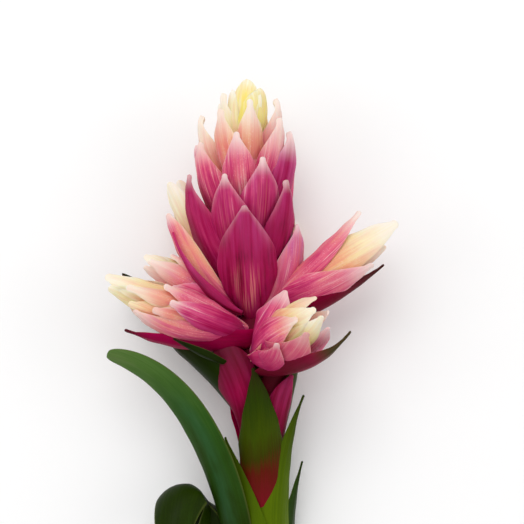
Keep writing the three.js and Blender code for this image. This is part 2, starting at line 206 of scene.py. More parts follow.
print("share at a quarter, half and nine tenths:", width_share(np.array([0.25, 0.5, 0.9])).round(2))

# %% [markdown]
# ## The midrib
# The midrib is one Bezier curve of four points, the same curve that the pen tool draws. A Blender curve
# object with a bevel could be swept along it, but a bevel keeps one section, while a bract changes its
# width, its cup and its thickness all the way up. So the curve is only evaluated here, and the sections are
# placed on it.

# %% Midrib
def unit(v):
    return v / np.linalg.norm(v, axis=-1, keepdims=True)


def midrib(path, s):
    p = np.array(path, float)
    u = 1 - s
    return np.stack([u**3, 3 * u * u * s, 3 * u * s * s, s**3], 1) @ p


print("halfway along a short one:", midrib([(0, 0, 0), (0, 10, 0), (0, 20, 4), (0, 30, 10)], np.array([0.5])))

# %% [markdown]
# ## How a bract runs
# At every station up the midrib three directions are needed: along the bract, out of its back and to its
# side. They are like the tripod of arrows that Blender shows on an object, carried along the curve. Letting
# the back turn slowly from one direction at the foot to another at the tip twists the bract, and the last
# part may hook inwards.

# %% Stations of a bract
CROWDING = 1.5  # above 1, the stations stand closer together towards the tip
HOOK_FROM, HOOK_OVER = 0.84, 0.16  # shares of the length


def stations(path, face, face_tip, rows, hook):
    s = 1 - (1 - np.arange(rows) / rows) ** CROWDING
    back = unit(np.array(face, float))[None] * (1 - s[:, None])
    back = back + unit(np.array(face_tip or face, float))[None] * s[:, None]
    hooked = (hook * np.clip((s - HOOK_FROM) / HOOK_OVER, 0, 1) ** 2)[:, None]
    at = midrib(path, s) - unit(back) * hooked
    end = midrib(path, np.array([1.0]))[0] - unit(back)[-1] * hook
    line = np.vstack([at, end])
    along = unit(np.gradient(line, axis=0))[:-1]
    back = unit(back - along * (back * along).sum(1, keepdims=True))
    run = np.concatenate([[0], np.cumsum(np.linalg.norm(np.diff(line, axis=0), axis=1))])
    return s, at, end, along, back, run


print("26 stations, the last gap in shares of the length:", round((1 / 26) ** CROWDING, 4))

# %% [markdown]
# ## Thin margins and a fleshy tip
# A real bract is a sheet a millimetre thick in the middle and paper thin along its margins, and its tip is
# a small fleshy nub. A plane with a Solidify modifier gives one thickness everywhere and a square edge. So
# the two skins are worked out apart, as distances from the middle of the sheet. A faint keel runs up the
# back, and the margins waver a little, each with its own beat.

# %% Width and thickness
SECTION_HALF = np.array([0.19, 0.38, 0.57, 0.74, 0.88, 0.96, 1.0])
SECTION = np.concatenate([-SECTION_HALF[::-1], [0.0], SECTION_HALF])
ACROSS = SECTION[None, :]
FROM_MIDDLE = np.abs(ACROSS)
FLESHY_TIP = 7.0  # millimetres over which a tip fills out
WAVE = 0.42  # radians of waver to a millimetre of margin
BEAT = 2.399  # radians by which the waver of each bract is shifted, the golden angle again


def half_widths(s, left, half, nub, pinch, outline):
    nub = min(nub, half * 0.3)
    round_off = nub * np.sqrt(np.clip(1 - (1 - np.clip(left / nub, 0, 1)) ** 2, 0, 1))
    drawn_in = 1 - pinch * np.clip((s - 0.62) / 0.3, 0, 1) ** 1.5  # the bracts of the spike end in a finger
    return np.maximum(half * width_share(s, **outline) * drawn_in, round_off)


def two_skins(s, left, width, thick, plump):
    solid = thick * (1 - 0.35 * FROM_MIDDLE) * (1 - 0.3 * s[:, None])
    outer = solid / 2 * (1 - 0.6 * FROM_MIDDLE**8)
    thin = thick * (0.78 - 0.12 * s[:, None]) * (1 - 0.82 * FROM_MIDDLE**3)
    fleshy = plump * (1 - ACROSS**2) * np.clip(1.4 - left / FLESHY_TIP, 0, 1)[:, None]
    outer = outer + np.clip(fleshy - thin, 0, None) * 0.4
    return outer, outer - np.minimum(np.maximum(thin, fleshy), 1.5 * width[:, None])


def keel_and_waver(s, left, run, keel, waver, seed):
    ridge = keel * np.exp(-((ACROSS / 0.1) ** 2))
    ridge = ridge * np.clip(s * 4, 0, 1)[:, None] * np.clip(left / 6, 0, 1)[:, None]
    phase = seed * BEAT + np.where(ACROSS > 0, 1.7, 0.0)
    ripple = waver * FROM_MIDDLE**3 * np.sin(run[:-1, None] * WAVE + phase) * np.clip(left / 8, 0, 1)[:, None]
    return ridge, ripple


print(len(SECTION), "points across a bract, closest together at its margins")

# %% [markdown]
# ## One bract as a closed sheet
# The sheet is cupped round the stem, so each section is an arc, and a ring of points runs up one skin and
# back down the other. Bending a flat mesh with a Simple Deform modifier would cup it too, but by one amount
# from foot to tip.

# %% Blade
def blade(path, face, half, face_tip=None, thick=1.4, cup=0.8, cup_base=None, rows=26, seed=0,
          hook=0.0, nub=1.3, plump=1.1, pinch=0.0, waver=0.3, keel=0.22, **outline):
    """Rings of points for one bract, with how far along, across and inside each of them is."""
    s, at, end, along, back, run = stations(path, face, face_tip, rows, hook)
    side = np.cross(along, back)
    left = run[-1] - run[:-1]
    width = half_widths(s, left, half, nub, pinch, outline)
    cup_base = cup if cup_base is None else cup_base
    bend = (cup_base + (cup - cup_base) * np.clip(s / 0.5, 0, 1)) * (width / half) ** 0.7
    radius = width / bend
    turn = bend[:, None] * ACROSS
    out = back[:, None] * np.cos(turn)[..., None] + side[:, None] * np.sin(turn)[..., None]
    outer, inner = two_skins(s, left, width, thick, plump)
    ridge, ripple = keel_and_waver(s, left, run, keel, waver, seed)

    def shell(offset):
        reach = (radius[:, None] + offset)[..., None]
        return at[:, None] - back[:, None] * radius[:, None, None] + out * reach

    rings = np.concatenate([shell(outer + ridge + ripple), shell(inner + ripple)[:, ::-1]], 1)
    ring_a = np.concatenate([SECTION, SECTION[::-1]])
    inside = np.concatenate([np.zeros(len(SECTION)), np.ones(len(SECTION))])
    inside[[0, len(SECTION) - 1, len(SECTION), -1]] = 0.5
    return dict(rings=rings, end=end, s=s, a=ring_a, inside=inside, run=run, width=width, along=along)


trial = blade([(0, 0, 0), (0, 10, 4), (0, 30, 4), (0, 40, 0)], (0, 0, 1), 10)
print("one bract:", trial["rings"].shape[0], "rings of", trial["rings"].shape[1], "points")

# %% [markdown]
# ## Marks: what the paint needs to know
# The finish changes along each bract and differs from bract to bract. Painting an image would need
# unwrapping a hundred curved sheets. Named attributes on the points are simpler: each is one number per
# point, and the shader reads it by name. `ripe` runs from deep magenta at 0 to cream at 1, `pale` is the
# whitish tip, `lilac` the cool bloom on it, `dark` the brown tip, `green` a green one, `gold` a yellow
# glow, `streak` where light streaks break through on a bract and, on a leaf, where a painted sheen, a
# painted highlight, runs down the channel, `plain` where the skin is even, `inner` the face towards the
# stem, `edge` the margin and `cut` a cut surface. `lie` is a vector: millimetres across and along, and a seed.

# %% Marks
MARKS = ("ripe", "pale", "lilac", "dark", "green", "gold", "streak", "plain", "inner", "edge", "cut")


def ease(x, low, high):
    """0 below low, 1 above high, and a smooth step between."""
    t = np.clip((x - low) / (high - low), 0, 1)
    return t * t * (3 - 2 * t)


def bract_marks(s, a, inside, ripe=(0.1, 0.3, 0.5), pale=0.0, reach=0.14, lilac=0.0, dark=0.0, gold=0.0,
                streak=0.0, streak_from=0.45, streak_to=0.85, dark_from=0.72, lean=0.0,
                green=0.0, plain=0.0):
    """The marks for points at share s of the length and a of the half width."""
    s, a, inside = np.broadcast_arrays(np.asarray(s, float), a, inside)
    return {
        # lean makes one side of a bract paler and the other deeper: partly its own colour, partly painted light and
        # shade
        "ripe": np.interp(s, [0.12, 0.58, 0.96], ripe) + lean * a * ease(s, 0.05, 0.4),
        "pale": pale * np.maximum(ease(s, 1 - reach, 1.0),
                                  0.35 * ease(np.abs(a), 0.55, 1.0) * ease(s, 0.6, 0.95)),
        "lilac": lilac * (0.35 + 0.65 * ease(s, 0.45, 0.9)),
        "dark": dark * ease(s, dark_from, 1.0),
        "green": green * ease(s, 0.62, 0.82),
        "gold": gold * ease(s, 0.25, 0.5) * (1 - ease(s, 0.72, 0.95)),
        "streak": streak * ease(s, streak_from - 0.12, streak_from + 0.08) * (1 - ease(np.abs(a), 0.2, 0.55))
        * (1 - ease(s, streak_to - 0.1, streak_to + 0.1)),
        "plain": np.full_like(s, plain),
        "inner": inside,
        "edge": ease(np.abs(a), 0.72, 1.0),
        "cut": np.zeros_like(s),
    }


def tint(*ripe, **marks):
    """The colouring of one bract: how ripe its foot, middle and tip are, and its other marks."""
    return dict(ripe=ripe, **marks)


print("marks kept on each point:", ", ".join(MARKS), "and lie")

# %% [markdown]
# ## One object for each solid
# A bloom is many bracts that move as one, so they share one object. Joining finished objects with the join
# operator would do it too, but plain arrays are quicker and don't depend on what is selected. The gatherer
# turns each sheet so that its faces look outwards, which it tests with the volume that the faces enclose,
# lays the points down, presses what would sink below the surface flat on it, and hands the object to the
# frame.

# %% Gatherer
PRESSED = 0.0005  # metres left between the two skins where a bract is pressed on the surface
pieces = {}


class Piece:
    """Collects closed sheets and cores in plant millimetres and makes one object of them."""

    def __init__(self, node, slot):
        self.node, self.slot = node, slot
        self.points, self.faces, self.flat = [], [], []
        self.marks = {name: [] for name in MARKS}
        self.lie = []
        self.count = 0

    def add(self, points, faces, marks, lie, flat=0):
        """flat is how many of the last faces are cut surfaces, which stay unsmoothed."""
        triangles = [(f[0], f[i], f[i + 1]) for f in faces for i in range(1, len(f) - 1)]
        t = points[np.array(triangles)]
        if np.einsum("ij,ij->i", t[:, 0], np.cross(t[:, 1], t[:, 2])).sum() < 0:
            faces = [f[::-1] for f in faces]
        self.points.append(points)
        self.faces += [[self.count + i for i in f] for f in faces]
        self.flat += [False] * (len(faces) - flat) + [True] * flat
        for name in MARKS:
            self.marks[name].append(marks[name])
        self.lie.append(lie)
        self.count += len(points)

    def make(self):
        points = lay_down(np.concatenate(self.points))
        inner = np.concatenate(self.marks["inner"])
        points[:, 2] = np.maximum(points[:, 2], PRESSED * inner)
        mesh = bpy.data.meshes.new(self.node)
        mesh.from_pydata(points.tolist(), [], self.faces)
        mesh.polygons.foreach_set("use_smooth", [not f for f in self.flat])
        for name in MARKS:
            mark = mesh.attributes.new(name, "FLOAT", "POINT")
            mark.data.foreach_set("value", np.concatenate(self.marks[name]).astype(np.float32))
        lie = mesh.attributes.new("lie", "FLOAT_VECTOR", "POINT")
        lie.data.foreach_set("vector", np.concatenate(self.lie).astype(np.float32).ravel())
        mesh.update()
        piece = bpy.data.objects.new(self.node + "_plant", mesh)
        bpy.context.scene.collection.objects.link(piece)
        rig.ride(piece, "root")
        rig.replaces(piece, self.node)
        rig.slot(piece, self.slot)
        pieces[self.node] = piece
        print(f"{self.node}: {len(mesh.vertices)} points, {len(mesh.polygons)} faces")


print("ready for", len(frame["nodes"]), "solids")

# %% [markdown]
# ## Closing a sheet
# The rings are stitched to each other with four-sided faces, a fan closes the tip and a strip closes the
# base. Where a sheath was cut through with the stem, that strip is a fresh cut surface. It gets points of
# its own, so that the edge stays crisp and the pale flesh doesn't bleed up the outside. Blades that start
# below the cut are slid along their own length until they end exactly on it.

# %% Add a blade to a piece
CUT_Y = -112.0  # the cut end of the stem


def stitch(rows, ring):
    """Four-sided faces between the rings, and a fan from the last ring to one more point."""
    faces = []
    for i in range(rows):
        for j in range(ring):
            here, beside = i * ring + j, i * ring + (j + 1) % ring
            above = [rows * ring] if i == rows - 1 else [beside + ring, here + ring]
            faces.append([here, beside] + above)
    return faces


def add_blade(piece, marks, seed, cut=False, **shape):
    b = blade(seed=seed, **shape)
    rings, rows, ring = b["rings"], *b["rings"].shape[:2]
    if cut:
        slide = (CUT_Y - rings[0, :, 1]) / b["along"][0, 1]
        rings[0] += b["along"][0][None] * slide[:, None]
        rings[1:, :, 1] = np.maximum(rings[1:, :, 1], CUT_Y)
        b["end"][1] = max(b["end"][1], CUT_Y)
    points = np.concatenate([rings.reshape(-1, 3), b["end"][None], rings[0]])
    base = rows * ring + 1
    strip = [[base + j, base + ring - 1 - j, base + ring - 2 - j, base + j + 1] for j in range(ring // 2 - 1)]
    s = np.concatenate([np.repeat(b["s"], ring), [1.0], np.zeros(ring)])
    a = np.concatenate([np.tile(b["a"], rows), [0.0], b["a"]])
    inside = np.concatenate([np.tile(b["inside"], rows), [0.5], b["inside"]])
    made = bract_marks(s, a, inside, **marks)
    if cut:
        made["cut"] = np.concatenate([np.zeros(base), np.ones(ring)])
    run = np.concatenate([np.repeat(b["run"][:-1], ring), b["run"][-1:], np.zeros(ring)])
    half = np.concatenate([np.repeat(b["width"], ring), [0.0], np.full(ring, b["width"][0])])
    # the third number shifts the grain, so that no two bracts share it
    lie = np.stack([a * half, run, np.full(len(run), seed * 7.31 + 3.7)], 1)
    piece.add(points, stitch(rows, ring) + strip, made, lie, flat=len(strip))


print("a sheet closes with a fan of", 2 * len(SECTION), "faces at its tip")

# %% [markdown]
# ## Cores
# Inside a bloom the bract feet run together into a solid heart, and the stem is a solid rod. Both are round
# and tapering, the shape a lathe makes. Blender's Screw modifier does this from a profile line. Here it is
# a few lines of sine and cosine, which lets the same marks ride on its points. A running average softens
# the profile's corners.

# %% Lathe a core
SOFTENER = [0.1, 0.24, 0.32, 0.24, 0.1]


def add_core(piece, foot, top, profile, sides=28, steps=30, ripe=(0.1, 0.1, 0.1), cut=False, ribs=0.0):
    foot, top = np.array(foot, float), np.array(top, float)
    axis = unit(top - foot)
    long = np.linalg.norm(top - foot)
    side = unit(np.cross(axis, [0, 0, 1]))
    front = np.cross(side, axis)
    share = np.linspace(0.0 if cut else 0.01, 0.99, steps)
    r = np.interp(share, [p[1] for p in profile], [p[0] for p in profile])
    r = np.convolve(np.pad(r, 2, mode="edge"), SOFTENER, mode="valid")
    angle = np.linspace(0, 2 * np.pi, sides, endpoint=False)
    wide = r[:, None] * (1 + ribs * np.cos(9 * angle)[None])
    ring = side * np.cos(angle)[:, None] + front * np.sin(angle)[:, None]
    rings = foot + axis * (share * long)[:, None, None] + ring[None] * wide[..., None]
    if cut:
        rings[0, :, 1] = CUT_Y
    points = np.concatenate([rings.reshape(-1, 3), [top], rings[0], [foot]])
    base = steps * sides + 1
    faces = stitch(steps, sides) + [[base + (j + 1) % sides, base + j, base + sides] for j in range(sides)]
    s = np.concatenate([np.repeat(share, sides), [1.0], np.zeros(sides + 1)])
    made = bract_marks(s, 0.0, 0.0, ripe=ripe)
    made["cut"] = np.concatenate([np.zeros(base), np.full(sides + 1, float(cut))])
    around = np.concatenate([np.tile(angle * r.max(), steps), [0.0], np.cos(angle) * r[0], [0.0]])
    up = np.concatenate([np.repeat(share * long, sides), [long], np.sin(angle) * r[0], [0.0]])
    piece.add(points, faces, made, np.stack([around, up, np.full(len(up), 1.3)], 1), flat=sides)


print("a profile is a list of radii, each with its share of the length")

# %% [markdown]
# ## The spike
# The tall middle of the head is a spiral of twenty seven bracts. Each stands 137.5 degrees round from the
# last, the golden angle, which is why no two of them stand in one column. They could be placed one by one,
# but a rule with a few named exceptions is shorter and looks more like growth. The lowest are deep magenta
# with a purple cast, the next rose, then coral and peach, and the last ones are cream and nearly
# see-through at their tips.

# %% Where each spike bract stands
NECK_X = 1.0
SPIKE_LEAN = -0.03
GOLDEN_ANGLE = 137.5
# degrees round, millimetres up, millimetres out, degrees of twist
SPIKE_NUDGES = {
    -2: (-7, -1.5, -0.3, -24), 0: (-1.6, 0, 1, 0), 2: (8, 9, 4.8, 22), 3: (1, 2.5, 0, 0), 5: (8, -1, 0, 0),
    6: (0, 0, -1.5, 0), 7: (0, 9, 5, 0), 8: (1.5, -1.6, 0, 0), 10: (-4, 1, 0, 0), 11: (4, 3.7, -0.7, 0),
    13: (3.5, -2.2, 0, 0), 14: (0, -2, -3, 0), 15: (0, 3, 1, 0), 16: (20, -1.1, -1.5, 0),
    18: (9, -1.1, 0, 0), 19: (0, 3.3, -1.7, 0), 21: (4, -1.3, 0, 0), 23: (0, -0.3, -2, 0),
    24: (0, -2.5, -2.5, 0),
}
# millimetres off the half width
SPIKE_SLIMMER = {-2: 3, 3: 3.2}
# degrees that a bract at the side has opened towards the front
SPIKE_OPENED = {3: -8, 6: -30, 7: 30, 10: 26, 11: -28, 14: -30, 15: 38, 16: -12, 18: 8, 19: -40, 20: 35,
                23: 35}


def spike_bract(n):
    turned, lift, out, twist = SPIKE_NUDGES.get(n, (0, 0, 0, 0))
    angle = math.radians(-2 + GOLDEN_ANGLE * n + turned)
    facing = angle + math.radians(twist + SPIKE_OPENED.get(n, 0))
    # the tips climb and crowd towards the crown, the bracts grow shorter, and from the twelfth on the spike
    # narrows
    tip_y = 66.8 + 3.55 * n - 0.047 * n * n + lift
    length = 57 - 0.8 * n + 0.6 * lift
    reach = 24.5 - 0.1 * n - 11.5 * max(0, (n - 12) / 12) ** 1.6 + out

    def at(r, y):
        return (NECK_X + SPIKE_LEAN * y + r * math.sin(angle), y, r * math.cos(angle))

    path = [at(4, tip_y - length), at(0.72 * reach, tip_y - 0.8 * length),
            at(reach + 1.5, tip_y - 0.36 * length), at(reach + 0.8, tip_y)]
    sharp = 2.3 if n in (0, -2) else 1.6 if n < 17 else 1.25
    half = 15.8 - 0.34 * n - SPIKE_SLIMMER.get(n, 0)
    return dict(path=path, face=(math.sin(facing), 0.05, math.cos(facing)), half=half, base=0.06,
                peak=0.5, cup=0.66 + 0.4 * float(ease(n, 3, 12)), sharp=sharp, blunt=0.9, thick=1.5)


print("the foremost bract ends at", [round(v, 1) for v in spike_bract(0)["path"][-1]])

# %% How each spike bract has coloured
SPIKE_PAINT = {
    -2: tint(0.48, 0.5, 0.58, pale=0.7, lilac=1.2),
    0: tint(0.08, 0.1, 0.14, pale=0.5, reach=0.07, lilac=0.3, streak=1.0, streak_from=0.19, streak_to=0.5),
    1: tint(0.05, 0.15, 0.2, pale=0.6, reach=0.1, lilac=0.2),
    2: tint(0.3, 0.2, 0.22, pale=0.5, lilac=0.15),
    3: tint(0.08, 0.09, 0.2, pale=0.6, reach=0.12, lilac=0.25),
    5: tint(0.12, 0.22, 0.34, pale=0.85, reach=0.15, lilac=0.25, streak=0.3),
    7: tint(0.15, 0.3, 0.42, pale=0.8, reach=0.15, lilac=0.2),
    8: tint(0.14, 0.24, 0.38, pale=0.85, reach=0.2, lilac=0.35, streak=0.3),
    10: tint(0.22, 0.38, 0.56, pale=0.9, reach=0.25, lilac=0.05),
    11: tint(0.1, 0.22, 0.36, pale=1.0, reach=0.3, lilac=0.7),
    13: tint(0.3, 0.4, 0.54, pale=0.95, reach=0.3, lilac=0.15, streak=0.4),
    15: tint(0.5, 0.66, 0.84, pale=0.9, reach=0.6),
    16: tint(0.3, 0.46, 0.62, pale=0.95, reach=0.5, lilac=0.15),
    18: tint(0.48, 0.62, 0.76, pale=0.85, reach=0.4),
    19: tint(0.4, 0.56, 0.74, pale=1.0, reach=0.6, lilac=0.2),
    20: tint(0.6, 0.8, 0.96, pale=0.9, reach=0.6),
    21: tint(0.56, 0.66, 0.84, pale=1.0, reach=0.5),
    22: tint(0.6, 0.78, 0.92, pale=0.3),
    23: tint(0.65, 0.88, 0.98, pale=0.9, reach=0.5, gold=0.2),
    24: tint(0.65, 0.85, 0.96, pale=0.3),
}
# millimetres by which a tip hooks inwards
SPIKE_HOOKS = {2: 1.0, 3: 1.0, 7: 1.6, 10: 1.2, 11: 2.0, 15: 2.4, 16: 0.8, 19: 2.4, 20: 1.2, 23: 1.0}


def spike_paint(n):
    middle = 0.12 + 0.028 * n
    return SPIKE_PAINT.get(n, tint(0.6 * middle, middle, middle + 0.16, pale=0.6, lilac=0.15))


print("bracts with a colouring of their own:", len(SPIKE_PAINT))

# %% Build the spike
spike = Piece("spike", "magenta_bract")
add_core(spike, (NECK_X + SPIKE_LEAN * 18, 18, 0), (NECK_X + SPIKE_LEAN * 116, 116, 0),
         [(0, 0), (7, 0.02), (13, 0.22), (14, 0.5), (9, 0.85), (0, 1)], ripe=(0.08, 0.3, 0.8))
for n in range(-2, 25):
    nub, plump, pinch = (2.1, 3.6, 0.22) if n in SPIKE_OPENED else (1.6, 2.4, 0.3)
    add_blade(spike, spike_paint(n), seed=n + 3, hook=SPIKE_HOOKS.get(n, 0.6), nub=nub, plump=plump,
              pinch=pinch, **spike_bract(n))
spike.make()

# %% [markdown]
# ## The crown bud
# At the top the youngest bracts are still folded over each other into a bud, yellow like butter, with the
# first two just parting. Four short bracts round a small core give the two that show and the round shoulder
# behind them. One egg shape would be quicker, but the parting line down the front is what makes it read as
# a bud.

# %% Build the crown bud
CROWN_FOOT_Y, HEAD_TOP_Y = 96, 130.0
# tip, facing, half width and colouring
CROWN_BRACTS = [
    ((-1.2, HEAD_TOP_Y, 3), (-0.3, 0, 0.95), 11, tint(0.76, 0.88, 0.95, pale=0.3, gold=1.8)),
    ((4.4, 125.4, 2.5), (0.7, 0, 0.65), 12, tint(0.78, 0.9, 0.95, pale=0.3, gold=1.2)),
    ((-8, 124.8, -3), (-0.85, 0, 0.2), 8, tint(0.8, 0.93, 0.98, pale=0.8, reach=0.4, gold=0.2)),
    ((-1, 127.5, -4), (0.2, 0, -1), 9, tint(0.66, 0.85, 0.94, pale=0.3)),
]
crown = Piece("crown_bud", "cream_bract")
add_core(crown, (NECK_X + SPIKE_LEAN * 100, 100, 0), (-2.5, 125, 0),
         [(0, 0), (6.5, 0.02), (6.5, 0.5), (0, 1)], ripe=(0.8, 0.85, 0.9))
foot_x = NECK_X + SPIKE_LEAN * CROWN_FOOT_Y
for number, (tip, face, half, paint) in enumerate(CROWN_BRACTS):
    out = unit(np.array(face, float))

    def crown_at(y, r):
        lean = (tip[0] - foot_x) * (y - CROWN_FOOT_Y) / (HEAD_TOP_Y - CROWN_FOOT_Y)
        return (foot_x + lean + out[0] * r, y, out[2] * r)

    add_blade(crown, paint, seed=40 + number, face=face, half=half, waver=0.15, nub=2.2, plump=2.6,
              cup=1.25, path=[crown_at(94, 2), crown_at(102, 8), crown_at(118, 7.5), tip], peak=0.45,
              blunt=0.6, thick=1.6, keel=0)
crown.make()

# %% [markdown]
# ## The side blooms
# Round the foot of the spike stand smaller blooms, each a bud of broad blunt bracts. All of a bloom's
# bracts spring from one seat and lie round the line from the seat to its heart. So a bract is given by its
# tip, its half width, how far it stands off that line low down and at its shoulder, the side it looks to,
# and how ripe it is at foot, middle and tip. Copies of one bloom turned about would save work, but each
# bloom in a real head has opened by a different amount and has its own colours.

# %% Bloom rule
FINGER = dict(sharp=1.5, blunt=0.95)  # two outlines that come again and again
OVAL = dict(sharp=1.6, blunt=0.9)
COLOURING = ("pale", "reach", "lilac", "dark", "dark_from", "gold", "plain", "lean")


def bract(tip, half, off, out, ripe, shoulder=0.68, **words):
    """One bract of a bloom. The words that colour it go to its tint, and all others shape it. When `out` is
    None, it looks straight away from the line."""
    paint = tint(*ripe, **{word: words.pop(word) for word in COLOURING if word in words})
    return np.array(tip, float), off, out, shoulder, paint, dict(half=half, **words)


def add_bloom(node, slot, seat, heart, bracts, seed):
    piece = Piece(node, slot)
    foot, heart = np.array(seat, float), np.array(heart, float)
    axis = unit(heart - foot)
    for number, (tip, (low, high), out, shoulder, paint, form) in enumerate(bracts):
        along = float((tip - foot) @ axis)
        out = unit(tip - foot - axis * along if out is None else np.array(out, float))
        off_line = unit(out - 0.8 * axis * (out @ axis))  # nearly square to the line

        def at(share, r):
            return tuple(foot + axis * (share * along) + off_line * r)

        # the curve passes inside its two middle points, so they stand a little further out than the bract
        shape = dict(peak=0.5, sharp=2.4, blunt=0.65, nub=1.8, keel=0.12, face=tuple(out)) | form
        add_blade(piece, paint, seed=seed + number,
                  path=[at(0, 1.5), at(0.3, low * 1.15), at(shoulder, high * 1.12), tuple(tip)], **shape)
    add_core(piece, seat, tuple(foot + axis * np.linalg.norm(heart - foot) * 0.7),
             [(0, 0), (3.5, 0.02), (5.5, 0.35), (4, 0.75), (0, 1)], sides=18, steps=16, ripe=(0.2, 0.4, 0.6))
    piece.make()


print("seats, hearts and tips are millimetres on the growing plant")

# %% [markdown]
# ### The front right bloom
# It points at the eye. Its front is cream with a blush, an orange foot shows between its upper bracts, a
# lilac pink bract stands behind it, and the lowest ones in front are painted a darker brownish pink, which
# is painted shade at the bottom of the bloom.

# %% Front right bloom
add_bloom("front_right_bloom", "cream_bract", (2, -8, 13), (32, 15, 42), [
    bract((12, 11.5, 35), 12, (7, 10), (-0.7, 0.35, 0.6), (0.2, 0.3, 0.44), pale=0.3, lilac=0.2, sharp=1.5,
          blunt=0.9),
    bract((17.6, 25.3, 25), 13, (9, 10.5), (-0.3, 0.5, 0.8), (0.22, 0.34, 0.46), pale=0.8, reach=0.2,
          lilac=0.35, peak=0.6, sharp=1.7, blunt=0.9),
    bract((24.4, 17.7, 32), 9, (9, 11), (-0.3, 0.7, 0.6), (0.5, 0.56, 0.66), gold=0.55, sharp=1.4,
          blunt=1.0),
    bract((32.5, 21.9, 36), 12, (9, 11), (-0.15, 0.75, 0.5), (0.56, 0.7, 0.84), pale=0.6, reach=0.3, gold=0.3,
          sharp=1.4, blunt=0.95),
    bract((23, 12, 49), 11, (10, 13), (-0.35, 0.25, 0.9), (0.24, 0.4, 0.68), pale=0.7, reach=0.25, lilac=0.1,
          shoulder=0.55, sharp=1.4, blunt=0.95),
    bract((31.8, 16.6, 46), 13, (8, 11.5), (0, 0.35, 0.93), (0.46, 0.7, 0.93), pale=0.7, reach=0.3, gold=0.3,
          shoulder=0.6, sharp=1.4, blunt=0.95),
    bract((35, 13.4, 45), 12.5, (10, 12.5), (0.5, -0.3, 0.85), (0.5, 0.76, 0.93), pale=0.6, reach=0.3,
          gold=0.5, shoulder=0.6, **OVAL),
    bract((38, 15.2, 39), 9, (9, 9), (0.8, 0.3, 0.3), (0.4, 0.52, 0.64), pale=0.8, reach=0.25, lilac=0.3,
          **OVAL),
    bract((38, 7.7, 38), 12.5, (12, 15), (0.8, -0.6, 0.1), (0.3, 0.42, 0.5), pale=0.7, reach=0.25, lilac=0.4,
          face=(0.5, -0.45, 0.8), shoulder=0.62, sharp=1.5, blunt=0.9),
    # these three are painted darker and browner from their feet: painted shade at the bottom of the bloom
    bract((27.6, 5.7, 49), 14.5, (10, 18), (0.1, -0.85, 0.5), (0.28, 0.42, 0.54), pale=0.45, reach=0.2,
          dark=0.2, dark_from=-1, plain=0.7, face=(0.1, -0.5, 0.85), shoulder=0.52, **FINGER),
    bract((13.2, 0.4, 46), 9, (13, 17), (-0.25, -0.75, 0.6), (0.2, 0.34, 0.46), pale=0.7, reach=0.12,
          dark=0.15, dark_from=-1, plain=0.7, face=(-0.2, -0.5, 0.85), sharp=1.3, blunt=1, nub=1.5),
    bract((24, -3.5, 38), 13, (13, 16), (-0.1, -0.9, 0.5), (0.2, 0.36, 0.5), pale=0.2, reach=0.3, dark=0.15,
          dark_from=-1, plain=0.7, shoulder=0.5, sharp=1.5, blunt=0.9),
    bract((24.4, 1.2, 36), 12, (9, 13), (0.2, -0.9, 0.4), (0.2, 0.35, 0.5), pale=0.3),
], seed=50)

# %% [markdown]
# ### The left bloom and the small one behind it
# The left bloom lies almost level. Its outermost bracts are cream with a yellow band, the middle ones peach
# with whitish tips, and the big front one is rose with a lilac cast. The bloom behind it is pink with cream
# tips.

# %% Left blooms
add_bloom("left_bloom", "pink_bract", (-2, 4, 10), (-64, 25, 26), [
    bract((-70.4, 32.2, 27), 8.2, (8, 7), (-0.1, 0.5, 0.85), (0.4, 0.7, 0.96), pale=0.7, reach=0.35,
          gold=0.25, sharp=2.1, blunt=0.7, nub=2.3),
    bract((-68.8, 26.6, 28), 9, (6, 5), (0.1, -0.5, 0.8), (0.45, 0.78, 0.94), pale=0.3, gold=0.5, sharp=2.1,
          blunt=0.7, nub=2.2),
    bract((-59.6, 27, 36), 7, (9, 10.5), (0, 0.3, 0.95), (0.42, 0.6, 0.82), pale=0.8, reach=0.35, **FINGER),
    bract((-58.9, 19.1, 31), 10, (10, 12.5), (0, -0.35, 0.9), (0.44, 0.62, 0.84), pale=0.3, gold=0.35,
          **OVAL),
    bract((-41.5, 27.6, 33), 6.8, (10, 12.5), (0, 0.55, 0.85), (0.3, 0.44, 0.56), pale=0.8, reach=0.25,
          lilac=0.15, **FINGER),
    bract((-47, 16, 35), 7.5, (11, 13), (0, -0.15, 1), (0.34, 0.54, 0.64), pale=0.6, reach=0.2, **FINGER),
    bract((-38.2, 19.8, 40), 7.2, (12, 15), (0.1, 0.05, 1), (0.2, 0.34, 0.48), pale=0.8, reach=0.2, lilac=0.5,
          lean=0.06, **FINGER),
    bract((-56.3, 15.7, 31), 9.5, (12.5, 16.5), (0, -0.8, 0.6), (0.3, 0.48, 0.6), pale=0.8, reach=0.3,
          lilac=0.1, gold=0.1, **OVAL),
    bract((-60, 28.6, 14), 10, (8, 8), None, (0.3, 0.5, 0.7), pale=0.5),
    bract((-59, 17.3, 15), 11, (8, 8), None, (0.2, 0.4, 0.6), pale=0.4),
], seed=60)

